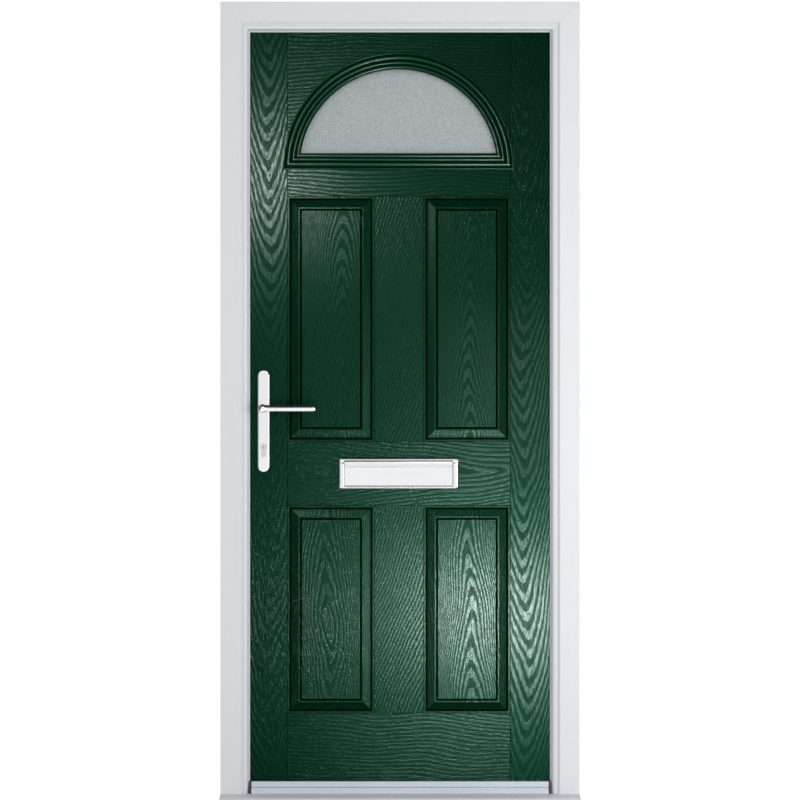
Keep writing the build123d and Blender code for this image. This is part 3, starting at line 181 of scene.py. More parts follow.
# Each board: its width, its height, the heart of its figure (x, z), then steepness, run and crowding, and if
# its grain runs up
BOARDS = [
    ((-SIDE_EDGE, STILE_LINES[0]), (0.0, 2.1), (-0.332, 2.35), (1.4, 1.0, 28.0), True),
    ((STILE_LINES[1], SIDE_EDGE), (0.0, 2.1), (0.322, 2.31), (1.5, 1.0, 30.0), True),
    (STILE_LINES, TOP_RAIL, (-0.55, 1.50), (4.5, 0.12, 0.0), False),
    (STILE_LINES, LOCK_RAIL, (-0.20, 0.860), (3.2, 0.5, 10.0), False),
    (STILE_LINES, BOTTOM_RAIL, (0.30, 0.300), (4.5, 0.15, 0.0), False),
    (MULLION_LINES, UPPER, (0.25, 0.60), (5.0, 2.0, 0.0), True),
    (MULLION_LINES, LOWER, (0.25, 0.10), (5.0, 2.0, 0.0), True),
    (LEFT_PANEL, UPPER, (-0.150, 0.55), (1.6, 1.0, 60.0), True),
    (RIGHT_PANEL, UPPER, (0.185, 0.52), (1.7, 1.0, 60.0), True),
    (LEFT_PANEL, LOWER, (-0.185, 0.47), (2.2, 0.8, 40.0), True),
    (RIGHT_PANEL, LOWER, (0.185, 0.12), (1.2, 0.8, 60.0), True),
]


def inside(tree, value, limits):
    """1 where value lies between the two limits."""
    middle, half = (limits[0] + limits[1]) / 2, (limits[1] - limits[0]) / 2
    return calc(tree, "COMPARE", value, middle, half)


def board_coordinates(tree):
    """For the board that holds the point: across, along and the board's number; then its three numbers."""
    face = add(tree, "ShaderNodeSeparateXYZ", {0: place(tree)}).outputs
    upright = add(tree, "ShaderNodeCombineXYZ", {0: face["X"], 1: face["Z"]}).outputs[0]
    level = add(tree, "ShaderNodeCombineXYZ", {0: face["Z"], 1: face["X"]}).outputs[0]
    chosen, shape = upright, (2.0, 1.0, 0.0)
    for number, (width, height, heart, figure, runs_up) in enumerate(BOARDS, 1):
        here = calc(tree, "MULTIPLY", inside(tree, face["X"], width), inside(tree, face["Z"], height))
        own_heart = heart if runs_up else heart[::-1]
        counted = add(tree, "ShaderNodeVectorMath",
                      {0: upright if runs_up else level, 1: (own_heart[0], own_heart[1], -number)},
                      operation="SUBTRACT").outputs[0]
        chosen = mix(tree, "VECTOR", here, chosen, counted)
        shape = mix(tree, "VECTOR", here, shape, figure)
    return chosen, shape


# %% [markdown]
# Next comes the figure itself. Three noises bend the rings: a slow one makes the figure wander, a middle one
# makes it wavy, and one that is stretched along the grain frays its edges. The pores are the short ticks of
# an open-grained timber, a few millimetres apart and a centimetre or two long. They are crowded in the dull
# bands and sparse in the smooth ones, and that is what makes some bands shine.

# %% The figure and the pores
RING_SPACING = 0.046
HEART_SOFTNESS = 0.006
# Each noise: how fine it is across and along the board, per metre, and how far it shifts a ring, in metres
WANDER = (3.0, 3.2, 0.030)
WAVES = (24.0, 7.0, 0.026)
FRAYING = (330.0, 36.0, 0.0065)
PORE_TICKS = (350.0, 60.0)
BAND_EDGE = (0.42, 0.54)
PORE_EDGE = (0.50, 0.60)
# How far apart in the noise two boards lie, so that no two boards share a pattern
BOARD_STEP = 1.7


def stretched(tree, vector, across, along):
    """The board's coordinates scaled for a pattern that is finer across the grain than along it."""
    fineness = (across, along, BOARD_STEP)
    return add(tree, "ShaderNodeVectorMath", {0: vector, 1: fineness}, operation="MULTIPLY").outputs[0]


def swing(tree, pattern, reach):
    """A 0 to 1 pattern turned into a shift of plus or minus reach metres."""
    return calc(tree, "MULTIPLY", calc(tree, "SUBTRACT", pattern, 0.5), 2 * reach)


def rounded_distance(tree, value, softness):
    """Distance from zero with its point rounded off."""
    return calc(tree, "SQRT", calc(tree, "ADD", calc(tree, "MULTIPLY", value, value), softness ** 2))


def wood_figure(tree):
    """Two outputs from 0 to 1: the smooth bands of the figure, and the pores."""
    board, shape = board_coordinates(tree)
    part = add(tree, "ShaderNodeSeparateXYZ", {0: board}).outputs
    steepness, run, crowding = add(tree, "ShaderNodeSeparateXYZ", {0: shape}).outputs[0:3]
    wander = swing(tree, noise(tree, stretched(tree, board, *WANDER[:2]), detail=1.0), WANDER[2])
    across = calc(tree, "ADD", part["X"], wander)
    along = calc(tree, "MULTIPLY", run, rounded_distance(tree, part["Y"], HEART_SOFTNESS * 4))
    sideways = calc(tree, "MULTIPLY", steepness, rounded_distance(tree, across, HEART_SOFTNESS))
    packed = calc(tree, "MULTIPLY", crowding, calc(tree, "MULTIPLY", across, across))
    rings = calc(tree, "ADD", along, calc(tree, "ADD", sideways, packed))
    waves = swing(tree, noise(tree, stretched(tree, board, *WAVES[:2])), WAVES[2])
    frayed = swing(tree, noise(tree, stretched(tree, board, *FRAYING[:2])), FRAYING[2])
    rings = calc(tree, "ADD", calc(tree, "ADD", rings, waves), frayed)
    turns = calc(tree, "FRACT", calc(tree, "DIVIDE", rings, RING_SPACING))
    ridge = calc(tree, "ABSOLUTE", calc(tree, "SUBTRACT", calc(tree, "MULTIPLY", turns, 2.0), 1.0))
    bands = ease(tree, ridge, *BAND_EDGE)
    ticks = noise(tree, stretched(tree, board, *PORE_TICKS), roughness=0.55)
    pores = ease(tree, ticks, *PORE_EDGE)
    return bands, pores


# %% [markdown]
# The finish then uses both patterns. A clear coat lies on the smooth bands and hardly at all on the dull ones,
# so the bands catch the light like the real satin paint, and the pores break it up. The colour hardly changes:
# on the real door the figure almost disappears where no lamp is reflected. Under the coat is a broad,
# green-tinted sheen, which is how light looks once it has been through a film of green paint. Both are weak
# mirrors, because strong ones would reflect the white room and turn the deep green grey. The lamps that they
# mirror are strong instead.
#
# The bottom of the panel grooves gets painted shade: its colour is made near-black and its gloss dull, where
# shadow falls. How deep a point is below the face follows from its distance from the middle of the leaf, so the
# same sum serves both skins.

# %% The green finishes
DEEP_GREEN = (0.0, 0.0055, 0.0016, 1)
SOFT_GREEN = (0.0, 0.0115, 0.0046, 1)
# Painted shade: the near-black green given to the bottom of the panel grooves
GROOVE_PAINTED_SHADE = (0.0, 0.0020, 0.0008, 1)
GREEN_SHEEN = (0.10, 1.0, 0.56, 1)
GRAIN_DEPTH = 0.00050
GROOVE_SHADE = (0.0034, 0.0058)
FACE_GLOSS = (0.50, 0.28)

skin_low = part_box("outer_skin")[0]
inner_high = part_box("inner_skin")[1]
LEAF_MIDDLE = (skin_low.y + inner_high.y) / 2
LEAF_HALF_THICKNESS = (inner_high.y - skin_low.y) / 2

green_skin, graph, shader = new_finish("embossed_green_skin", Specular_IOR_Level=0.014,
                                       Specular_Tint=GREEN_SHEEN, Coat_IOR=1.06, Coat_Roughness=0.18)
bands, pores = wood_figure(graph)
through_leaf = add(graph, "ShaderNodeSeparateXYZ", {0: place(graph)}).outputs["Y"]
from_middle = calc(graph, "ABSOLUTE", calc(graph, "SUBTRACT", through_leaf, LEAF_MIDDLE))
# Painted shade: a mask that is 1 at the bottom of the panel grooves, where shadow falls; it darkens the colour
# and dulls the gloss there
groove_painted_shade = ease(graph, calc(graph, "SUBTRACT", LEAF_HALF_THICKNESS, from_middle), *GROOVE_SHADE)
open_face = calc(graph, "SUBTRACT", 1.0, groove_painted_shade)
dull = calc(graph, "MULTIPLY", pores, mix(graph, "FLOAT", bands, 0.35, 0.16))
smooth = calc(graph, "MULTIPLY", mix(graph, "FLOAT", bands, 0.25, 1.0), calc(graph, "SUBTRACT", 1.0, dull))
cloud = noise(graph, place(graph), scale=5.0)
shade = calc(graph, "ADD", calc(graph, "MULTIPLY", smooth, 0.55), calc(graph, "MULTIPLY", cloud, 0.35))
orange_peel = noise(graph, place(graph), scale=900.0, detail=1.0)
peel_less_pores = calc(graph, "SUBTRACT", calc(graph, "MULTIPLY", orange_peel, 0.08),
                       calc(graph, "MULTIPLY", pores, 0.20))
height = calc(graph, "ADD", calc(graph, "MULTIPLY", bands, 0.14), peel_less_pores)
normal = relief(graph, height, GRAIN_DEPTH)
face_colour = mix(graph, "RGBA", shade, DEEP_GREEN, SOFT_GREEN)
# In the grooves the colour goes to the painted groove shade
feed(graph, shader, Base_Color=mix(graph, "RGBA", groove_painted_shade, face_colour, GROOVE_PAINTED_SHADE),
     Roughness=mix(graph, "FLOAT", groove_painted_shade, mix(graph, "FLOAT", smooth, *FACE_GLOSS), 1.0),
     Coat_Weight=calc(graph, "MULTIPLY", smooth, open_face), Normal=normal, Coat_Normal=normal)
dress(green_skin, "outer_skin", "inner_skin")

# %% [markdown]
# The moulding round the light is a separate frame of the same colour, moulded smoother than the skin. It has
# no figure, only a faint fine grain, so its rounds catch clean lines of light.

# %% The moulded frame round the light
green_moulding, graph, shader = new_finish("satin_green_moulding", Specular_IOR_Level=0.02,
                                           Specular_Tint=GREEN_SHEEN, Coat_Weight=1.0, Coat_IOR=1.08,
                                           Coat_Roughness=0.18)
fine = noise(graph, place(graph, (700, 700, 260)))
feed(graph, shader, Base_Color=mix(graph, "RGBA", fine, (0.0, 0.0090, 0.0035, 1), (0.0, 0.0160, 0.0075, 1)),
     Roughness=mix(graph, "FLOAT", fine, 0.40, 0.52), Normal=relief(graph, fine, 0.00006))
dress(green_moulding, "outer_glazing_frame", "inner_glazing_frame", "glazing_screw_caps")

# %% [markdown]
# ## White plastic, metal, rubber and glass
#
# Most other finishes are one material with a little unevenness: a slow change of shade, fine streaks or
# specks that vary the gloss, and a shallow relief. One recipe covers them. What differs is how fine the
# pattern is in each direction: an extruded bar has streaks along its length, a casting has even specks. The
# Bevel node in the relief rounds the sharp edges of the solids for the light, by edge metres.

# %% A recipe for plain finishes
def plain_finish(name, dark, light, gloss, speck, depth, edge=0.0, **sockets):
    """A shade from dark to light, a roughness between the two of gloss, and specks per metre in x, y and z."""
    finish, tree, shader = new_finish(name, **sockets)
    specks = noise(tree, place(tree, speck))
    slow = noise(tree, place(tree), scale=3.0)
    blend = calc(tree, "ADD", calc(tree, "MULTIPLY", specks, 0.5), calc(tree, "MULTIPLY", slow, 0.5))
    feed(tree, shader, Base_Color=mix(tree, "RGBA", blend, dark, light),
         Roughness=mix(tree, "FLOAT", specks, *gloss), Normal=relief(tree, specks, depth, edge))
    return finish


white_plastic = plain_finish("white_plastic", (0.71, 0.72, 0.745, 1), (0.77, 0.78, 0.80, 1), (0.40, 0.52),
                             (380, 380, 90), 0.00003, edge=0.0012, Specular_IOR_Level=0.25)
dress(white_plastic, "frame_head", "frame_jamb_lock_side", "frame_jamb_hinge_side")

# Painted shade: the cill is the same white plastic as the frame, given a greyer colour for the less light that
# falls on it
cill_in_painted_shade = plain_finish("cill_white_plastic_painted_shade", (0.55, 0.56, 0.585, 1), (0.61, 0.62, 0.645, 1), (0.40, 0.52),
                            (90, 380, 380), 0.00003, edge=0.0012, Specular_IOR_Level=0.25)
dress(cill_in_painted_shade, "cill", "cill_end_caps")

white_powder = plain_finish("white_powder_coat", (0.66, 0.67, 0.69, 1), (0.74, 0.75, 0.77, 1), (0.34, 0.46),
                            (900, 900, 900), 0.00006, edge=0.0005)
dress(white_powder, "hinge_frame_leaves", "hinge_door_leaves")

bright_aluminium = plain_finish("bright_aluminium", (0.38, 0.43, 0.49, 1), (0.66, 0.70, 0.75, 1), (0.18, 0.34),
                                (6, 900, 900), 0.00003, edge=0.0006, Metallic=1.0)
dress(bright_aluminium, "threshold")

mill_aluminium = plain_finish("mill_aluminium", (0.50, 0.52, 0.55, 1), (0.64, 0.66, 0.68, 1), (0.35, 0.55),
                              (500, 500, 500), 0.00005, Metallic=1.0)
dress(mill_aluminium, "spacer_bar")

CHROME = ((0.76, 0.765, 0.78, 1), (0.86, 0.86, 0.875, 1), (0.04, 0.10), (120, 120, 120), 0.000004)
chrome = plain_finish("polished_chrome", *CHROME, edge=0.0008, Metallic=1.0)
dress(chrome, "outer_handle_plate", "inner_handle_plate", "outer_flap", "inner_flap", "thumbturn",
      "furniture_screws")

round_chrome = plain_finish("round_edged_chrome", *CHROME, edge=0.0050, Metallic=1.0)
dress(round_chrome, "outer_lever", "inner_lever", "letterplate_outer_frame", "letterplate_inner_frame")

nickel = plain_finish("satin_nickel", (0.60, 0.58, 0.53, 1), (0.74, 0.72, 0.67, 1), (0.20, 0.34),
                      (300, 300, 900), 0.00003, Metallic=1.0)
dress(nickel, "cylinder_body", "key_plug", "cylinder_cam", "latch_bolt", "deadbolt")

zinc_steel = plain_finish("zinc_plated_steel", (0.42, 0.43, 0.45, 1), (0.62, 0.63, 0.66, 1), (0.28, 0.48),
                          (160, 160, 160), 0.00004, Metallic=1.0)
dress(zinc_steel, "frame_reinforcement", "frame_screws", "latch_keep", "hook_keeps", "gearbox_case",
      "hook_cases", "drive_rods", "hook_top", "hook_bottom", "lock_faceplate", "lock_screws", "glazing_screws",
      "follower", "spindle", "hinge_pins", "hinge_door_screws", "flap_springs")

black_rubber = plain_finish("black_rubber_seal", (0.010, 0.010, 0.011, 1), (0.022, 0.022, 0.023, 1),
                            (0.55, 0.75), (600, 600, 600), 0.00006)
dress(black_rubber, "frame_seal", "bottom_weather_seal", "glazing_gaskets")

dark_plastic = plain_finish("dark_grey_plastic", (0.020, 0.020, 0.022, 1), (0.045, 0.045, 0.048, 1),
                            (0.40, 0.58), (500, 500, 500), 0.00005)
dress(dark_plastic, "threshold_end_blocks", "letterplate_sleeve", "letterplate_brush")

foam = plain_finish("pale_foam", (0.52, 0.46, 0.28, 1), (0.70, 0.65, 0.45, 1), (0.85, 0.95),
                    (420, 420, 420), 0.00050)
dress(foam, "foam_core")

# %% [markdown]
# The stiles and rails inside the leaf are planed softwood, seen only on the leaf's edges. Straight rings run
# up the stiles, so a wave pattern that bends a little is enough.

# %% The timber inside the leaf
timber, graph, shader = new_finish("planed_softwood")
bent = place(graph, (1, 1, 0.06))
rings = add(graph, "ShaderNodeTexWave", {"Vector": bent, "Scale": 60.0, "Distortion": 5.0, "Detail": 2.0,
                                         "Detail Scale": 0.6}).outputs[0]
fibres = noise(graph, place(graph, (900, 900, 30)))
worn = calc(graph, "ADD", calc(graph, "MULTIPLY", rings, 0.6), calc(graph, "MULTIPLY", fibres, 0.4))
feed(graph, shader, Base_Color=mix(graph, "RGBA", worn, (0.36, 0.20, 0.085, 1), (0.62, 0.42, 0.22, 1)),
     Roughness=mix(graph, "FLOAT", fibres, 0.55, 0.75), Normal=relief(graph, fibres, 0.00012))
dress(timber, "lock_stile", "hinge_stile", "top_rail", "bottom_rail")

# %% [markdown]
# The light is double glazed with obscured glass: you see brightness through it but no shapes. The panes let
# light through and scatter it, so the glass is a rough transmitting shader, and its pebbled face comes from
# fine cells that are pressed into the sheet.

# %% Obscured glass
satin_glass, graph, shader = new_finish("obscured_glass", Transmission_Weight=0.62, IOR=1.45)
pebble = add(graph, "ShaderNodeTexVoronoi", {"Vector": place(graph), "Scale": 420.0},
             feature="SMOOTH_F1").outputs["Distance"]
speckle = noise(graph, place(graph), scale=380.0, detail=3.0, roughness=0.65)
grains = ease(graph, speckle, 0.35, 0.68)
feed(graph, shader, Base_Color=mix(graph, "RGBA", grains, (0.50, 0.545, 0.555, 1), (0.82, 0.86, 0.865, 1)),
     Roughness=mix(graph, "FLOAT", grains, 0.42, 0.62), Normal=relief(graph, pebble, 0.0006))
dress(satin_glass, "outer_pane", "inner_pane")

# %% [markdown]
# ## The letterplate's brush
#
# Behind the letter slot, two rows of bristles keep the draught out. They are the kind of thing that Geometry
# Nodes are for: one thin tapered hair, set out in rows, each leaning a little its own way. The tree below has
# named inputs for the strip's length, the hair's length and how much it leans. Its last nodes make the copies
# real and give them their material, because only real mesh is exported.

# %% Helpers for geometry trees
def new_tree(name, inputs):
    """A geometry tree with number inputs, given as {name: (type, value)}."""
    tree = bpy.data.node_groups.new(name, "GeometryNodeTree")
    for label, (kind, value) in inputs.items():
        socket = tree.interface.new_socket(label, in_out="INPUT", socket_type="NodeSocket" + kind)
        socket.default_value = value
    tree.interface.new_socket("Geometry", in_out="OUTPUT", socket_type="NodeSocketGeometry")
    return tree, add(tree, "NodeGroupInput").outputs


def close_tree(tree, instances, finish):
    """Ends a tree: real mesh, then its material."""
    real = add(tree, "GeometryNodeRealizeInstances", {0: instances}).outputs[0]
    dressed = add(tree, "GeometryNodeSetMaterial", {0: real, "Material": finish}).outputs[0]
    add(tree, "NodeGroupOutput", {0: dressed})


def grow(name, tree, body, slot, finish, **values):
    """Runs a geometry tree with these inputs and keeps its result as a plain mesh on one body."""
    carrier = bpy.data.objects.new(name + "_carrier", bpy.data.meshes.new(name + "_carrier"))
    bpy.context.scene.collection.objects.link(carrier)
    modifier = carrier.modifiers.new("grow", "NODES")
    modifier.node_group = tree
    for item in tree.interface.items_tree:
        if item.in_out == "INPUT" and item.name in values:
            modifier[item.identifier] = values[item.name]
    evaluated = carrier.evaluated_get(bpy.context.evaluated_depsgraph_get())
    mesh = bpy.data.meshes.new_from_object(evaluated)
    carrier.modifiers.clear()
    bpy.data.objects.remove(carrier)
    mesh.name = name
    mesh.materials.clear()
    mesh.materials.append(finish)
    piece = bpy.data.objects.new(name, mesh)
    bpy.context.scene.collection.objects.link(piece)
    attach(piece, body)
    print(name, "has", len(mesh.polygons), "faces")
    return piece


# %% The bristles
HAIR_RADIUS = 0.00022
HAIRS_PER_ROW = 230
HAIR_ROWS = 3
HAIR_LEAN = 0.045
HAIR_SEED = 7
TIP_SHARE = 0.4
FULL_TURN = 6.28
ROW_END_GAPS = 0.004
ROW_DEPTH_SHARE = 0.45
HOLDER_HEIGHT = 0.006

brush_low, brush_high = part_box("letterplate_brush")
brush_middle = (brush_low + brush_high) / 2
brush_size = brush_high - brush_low

bristle_tree, given = new_tree("brush_of_hairs", {
    "Strip Length": ("Float", 0.2), "Hair Length": ("Float", 0.015), "Row Depth": ("Float", 0.002),
    "Lean": ("Float", 0.05), "Middle": ("Vector", (0, 0, 0))})
rows = add(bristle_tree, "GeometryNodeMeshGrid",
           {"Size X": given["Strip Length"], "Size Y": given["Row Depth"],
            "Vertices X": HAIRS_PER_ROW, "Vertices Y": HAIR_ROWS}).outputs[0]
hair = add(bristle_tree, "GeometryNodeMeshCone",
           {"Vertices": 5, "Radius Top": HAIR_RADIUS * TIP_SHARE, "Radius Bottom": HAIR_RADIUS,
            "Depth": given["Hair Length"]}).outputs["Mesh"]
back = calc(bristle_tree, "MULTIPLY", given["Lean"], -1.0)
least = add(bristle_tree, "ShaderNodeCombineXYZ", {0: back, 1: back, 2: 0.0}).outputs[0]
most = add(bristle_tree, "ShaderNodeCombineXYZ", {0: given["Lean"], 1: given["Lean"], 2: FULL_TURN}).outputs[0]
turned = add(bristle_tree, "FunctionNodeRandomValue", {0: least, 1: most, "Seed": HAIR_SEED},
             data_type="FLOAT_VECTOR").outputs[0]
lower = add(bristle_tree, "GeometryNodeInstanceOnPoints",
            {"Points": rows, "Instance": hair, "Rotation": turned}).outputs[0]
hair_down = calc(bristle_tree, "MULTIPLY", given["Hair Length"], -1.0)
root = add(bristle_tree, "ShaderNodeCombineXYZ", {2: hair_down})
lower = add(bristle_tree, "GeometryNodeTransform",
            {"Geometry": lower, "Translation": root.outputs[0]}).outputs[0]
upper = add(bristle_tree, "GeometryNodeTransform",
            {"Geometry": lower, "Rotation": (math.pi, 0, 0)}).outputs[0]
both = add(bristle_tree, "GeometryNodeJoinGeometry")
bristle_tree.links.new(lower, both.inputs[0])
bristle_tree.links.new(upper, both.inputs[0])
moved = add(bristle_tree, "GeometryNodeTransform",
            {"Geometry": both.outputs[0], "Translation": given["Middle"]}).outputs[0]
close_tree(bristle_tree, moved, dark_plastic)

hair_length = brush_size.z / 2 - HOLDER_HEIGHT
bristles = grow("letterplate_bristles", bristle_tree, "leaf", "dark_plastic", dark_plastic, **{
    "Strip Length": brush_size.x - ROW_END_GAPS, "Hair Length": hair_length,
    "Row Depth": brush_size.y * ROW_DEPTH_SHARE, "Lean": HAIR_LEAN, "Middle": tuple(brush_middle)})
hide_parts("letterplate_brush")
print("hairs", round(hair_length * 1000, 1), "mm long")

# %% [markdown]
# The hairs are crimped into two channels of folded metal, one along the bottom of the slot and one along its
# top. Each channel is a plain bar, so two boxes in one mesh are enough.

# %% Helpers for plain shapes
def add_box(shape, size, middle):
    """Adds a box to a shape."""
    corners = bmesh.ops.create_cube(shape, size=1.0)["verts"]
    bmesh.ops.scale(shape, verts=corners, vec=size)
    bmesh.ops.translate(shape, verts=corners, vec=middle)


def as_object(name, shape, finish):
    """Turns a shape into an object at the origin, with its finish."""
    mesh = bpy.data.meshes.new(name)
    shape.to_mesh(mesh)
    shape.free()
    mesh.materials.append(finish)
    piece = bpy.data.objects.new(name, mesh)
    bpy.context.scene.collection.objects.link(piece)
    return piece


# %% The brush holders
shape = bmesh.new()
for foot in (brush_low.z, brush_high.z - HOLDER_HEIGHT):
    add_box(shape, (brush_size.x, brush_size.y, HOLDER_HEIGHT),
            (brush_middle.x, brush_middle.y, foot + HOLDER_HEIGHT / 2))
brush_holders = as_object("brush_holders", shape, mill_aluminium)
print("two holders of", round(brush_size.x * 1000), "mm")
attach(brush_holders, "leaf")

# %% [markdown]
# ## The flap springs
#
# A small coiled spring sits round the pin at each end of both flaps and pulls the flap shut. The solid model
# has a plain sleeve there. A spiral swept with a thin round wire shows the coils. One spring is made and set
# out on a grid of two by two points, and its length, radius and number of turns are inputs.

# %% The springs
WIRE_RADIUS = 0.00035
SPRING_TURNS = 7.0
SPRING_LENGTH = 0.0072

spring_low, spring_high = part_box("flap_springs")
spring_middle = (spring_low + spring_high) / 2
spring_reach = spring_high.z - spring_low.z

spring_tree, given = new_tree("coiled_springs", {
    "Coil Radius": ("Float", 0.003), "Wire Radius": ("Float", 0.0003), "Length": ("Float", 0.007),
    "Turns": ("Float", 7.0), "Apart X": ("Float", 0.3), "Apart Y": ("Float", 0.05),
    "Middle": ("Vector", (0, 0, 0))})
spiral = add(spring_tree, "GeometryNodeCurveSpiral",
             {"Resolution": 16, "Rotations": given["Turns"], "Start Radius": given["Coil Radius"],
              "End Radius": given["Coil Radius"], "Height": given["Length"]}).outputs[0]
wire = add(spring_tree, "GeometryNodeCurvePrimitiveCircle",
           {"Resolution": 8, "Radius": given["Wire Radius"]}).outputs[0]
coil = add(spring_tree, "GeometryNodeCurveToMesh",
           {"Curve": spiral, "Profile Curve": wire, "Fill Caps": True}).outputs[0]
half_back = calc(spring_tree, "MULTIPLY", given["Length"], -0.5)
middle_of_coil = add(spring_tree, "ShaderNodeCombineXYZ", {2: half_back})
coil = add(spring_tree, "GeometryNodeTransform",
           {"Geometry": coil, "Translation": middle_of_coil.outputs[0]}).outputs[0]
coil = add(spring_tree, "GeometryNodeTransform", {"Geometry": coil, "Rotation": (0, math.pi / 2, 0)}).outputs[0]
corners = add(spring_tree, "GeometryNodeMeshGrid", {"Size X": given["Apart X"], "Size Y": given["Apart Y"],
                                                    "Vertices X": 2, "Vertices Y": 2}).outputs[0]
four = add(spring_tree, "GeometryNodeInstanceOnPoints", {"Points": corners, "Instance": coil}).outputs[0]
moved = add(spring_tree, "GeometryNodeTransform", {"Geometry": four, "Translation": given["Middle"]}).outputs[0]
close_tree(spring_tree, moved, zinc_steel)

springs = grow("coiled_flap_springs", spring_tree, "leaf", "zinc_steel", zinc_steel, **{
    "Coil Radius": spring_reach / 2 - WIRE_RADIUS, "Wire Radius": WIRE_RADIUS,
    "Length": SPRING_LENGTH - 2 * WIRE_RADIUS, "Turns": SPRING_TURNS,
    "Apart X": spring_high.x - spring_low.x - SPRING_LENGTH,
    "Apart Y": spring_high.y - spring_low.y - spring_reach, "Middle": tuple(spring_middle)})
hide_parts("flap_springs")
print("four springs of", SPRING_TURNS, "turns,", round(spring_reach * 1000, 1), "mm across")

# %% [markdown]
# ## The room
#
# The photograph is a catalogue picture on pure white. The world is white wherever the camera, a reflection or
# the view through the glass meets it, and a calmer pale grey where it only lights the door, so that white
# plastic keeps its shading. The floor is pale too and keeps the door's soft shadow.

# %% World and floor
scene = bpy.context.scene
AMBIENT = 0.55
FLOOR_GLOW = 0.60
FLOOR_HALF_WIDTH = 30

world = bpy.data.worlds.new("white_room")
scene.world = world
world.use_nodes = True
graph = world.node_tree
rays = add(graph, "ShaderNodeLightPath").outputs
seen = calc(graph, "MAXIMUM", rays["Is Camera Ray"],
            calc(graph, "MAXIMUM", rays["Is Glossy Ray"], rays["Is Transmission Ray"]))
background = graph.nodes["Background"]
background.inputs["Color"].default_value = (1, 1, 1, 1)
graph.links.new(mix(graph, "FLOAT", seen, AMBIENT, 1.0), background.inputs["Strength"])

floor_paint, graph, shader = new_finish("pale_floor", Roughness=0.9, Specular_IOR_Level=0.1)
rays = add(graph, "ShaderNodeLightPath").outputs
scuffs = noise(graph, place(graph), scale=2.0)
seen = calc(graph, "MAXIMUM", rays["Is Camera Ray"], rays["Is Glossy Ray"])
feed(graph, shader, Base_Color=mix(graph, "RGBA", scuffs, (0.80, 0.80, 0.80, 1), (0.84, 0.84, 0.84, 1)),
     Emission_Strength=calc(graph, "MULTIPLY", seen, FLOOR_GLOW))
shader.inputs["Emission Color"].default_value = (1, 1, 1, 1)

shape = bmesh.new()
bmesh.ops.create_grid(shape, x_segments=1, y_segments=1, size=FLOOR_HALF_WIDTH)
bmesh.ops.translate(shape, verts=shape.verts, vec=(0, 0, solid_box[0].z))
studio_floor = as_object("studio_floor", shape, floor_paint)
print("floor", 2 * FLOOR_HALF_WIDTH, "m wide")

# %% [markdown]
# ## Lamps
#
# A large soft lamp above does the modelling and puts the shadow of the head on the leaf. A lamp at the right
# leaves the right jamb the brighter one and lights the inner edges of the left jamb, and a weaker one fills in
# from the left. Three more lamps are there only to be reflected in the green paint, as a photographer sets a
# soft box for its shine. One gives the sheen high on the lock-side stile, one a weak glow across the middle,
# and one the sheen at the lower right. Their diffuse visibility is off, and light linking keeps them off the
# bright metal, which they would burn out. Each is turned to the place on the door where the camera sees its
# reflection, a fixed share of the way out from the point that the camera faces.

# %% Lamps
def lamp(name, spot, target, size, power, colour=(1, 1, 1)):
    """A square soft lamp at spot, turned to face target."""
    light = bpy.data.lights.new(name, "AREA")
    light.size = size
    light.energy = power
    light.color = colour
    holder = bpy.data.objects.new(name, light)
    holder.location = spot
    holder.rotation_euler = (Vector(target) - Vector(spot)).to_track_quat("-Z", "Y").to_euler()
    scene.collection.objects.link(holder)
    return holder


lamp("main_lamp", (0.9, -3.3, 3.2), (0, 0, 1.0), 2.0, 27)
lamp("right_lamp", (1.5, -1.5, 0.9), (0.2, 0, 1.0), 1.2, 17, (0.95, 0.98, 1.0))
lamp("left_fill", (-3.0, -2.4, 1.0), (0, 0, 1.0), 1.6, 16)

painted = bpy.data.collections.new("painted_green")
for name in ("outer_skin", "inner_skin", "outer_glazing_frame", "inner_glazing_frame"):
    painted.objects.link(pieces[name])

MIRROR_SHARE = 0.65
EYE_HEIGHT = 1.04
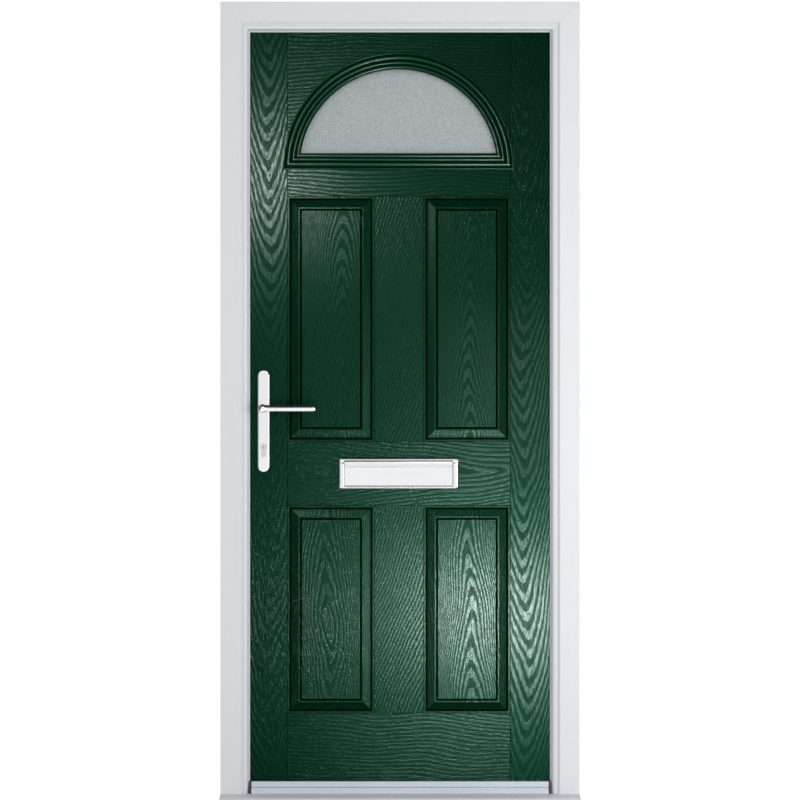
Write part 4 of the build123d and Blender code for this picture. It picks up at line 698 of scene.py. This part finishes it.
# Each shine lamp: its name, its place, its size and its power
SHINE = [("upper_left_shine", (-0.54, -2.5, 1.93), 0.36, 250),
         ("middle_glow", (0.55, -2.5, 1.00), 0.7, 85),
         ("lower_right_shine", (0.40, -2.5, 0.10), 0.56, 890)]
for name, spot, size, power in SHINE:
    mirrored = (spot[0] * MIRROR_SHARE, 0, EYE_HEIGHT + (spot[2] - EYE_HEIGHT) * MIRROR_SHARE)
    shine = lamp(name, spot, mirrored, size, power)
    shine.visible_diffuse = False
    shine.visible_transmission = False
    shine.light_linking.receiver_collection = painted

# %% [markdown]
# ## Dark cards
#
# Polished chrome in an all-white room looks like white paint. A photographer stands black cards at its sides
# and overhead, out of the picture, so that every round edge picks up a dark line. These three cards are seen
# by reflections only: they cast no shadow and take no light off the door.

# %% Dark cards for the chrome
# Each card: its size and its middle
CARDS = [((0.05, 5.0, 4.0), (-2.1, -2.3, 1.9)),
         ((0.05, 5.0, 4.0), (2.1, -2.3, 1.9)),
         ((4.2, 5.0, 0.05), (0.0, -2.3, 3.2))]

card_paint, graph, shader = new_finish("black_card", Roughness=1.0, Specular_IOR_Level=0.0)
felt = noise(graph, place(graph), scale=4.0)
feed(graph, shader, Base_Color=mix(graph, "RGBA", felt, (0.015, 0.015, 0.016, 1), (0.035, 0.035, 0.037, 1)))

shape = bmesh.new()
for size, middle in CARDS:
    add_box(shape, size, middle)
dark_cards = as_object("dark_cards", shape, card_paint)
dark_cards.visible_camera = False
dark_cards.visible_diffuse = False
dark_cards.visible_transmission = False
dark_cards.visible_shadow = False
print(len(CARDS), "dark cards")

# %% [markdown]
# ## Camera
#
# The photograph looks straight at the door from about four and a half metres, level with the lock rail, so
# nothing converges. The lens is worked out from the height of the door face that fills the picture.

# %% Camera
CAMERA_DISTANCE = 4.5
VIEW_HEIGHT = 1.0397
PICTURE_SPAN = 2.049
SENSOR = 36.0
FRAME_FRONT = -0.035

camera_data = bpy.data.cameras.new("studio_camera")
camera_data.sensor_width = SENSOR
camera_data.lens = SENSOR * CAMERA_DISTANCE / PICTURE_SPAN
camera = bpy.data.objects.new("studio_camera", camera_data)
camera.location = (0, FRAME_FRONT - CAMERA_DISTANCE, VIEW_HEIGHT)
camera.rotation_euler = (math.radians(90), 0, 0)
scene.collection.objects.link(camera)
scene.camera = camera
scene.view_settings.view_transform = "Standard"
print("lens", round(camera_data.lens, 1), "mm")
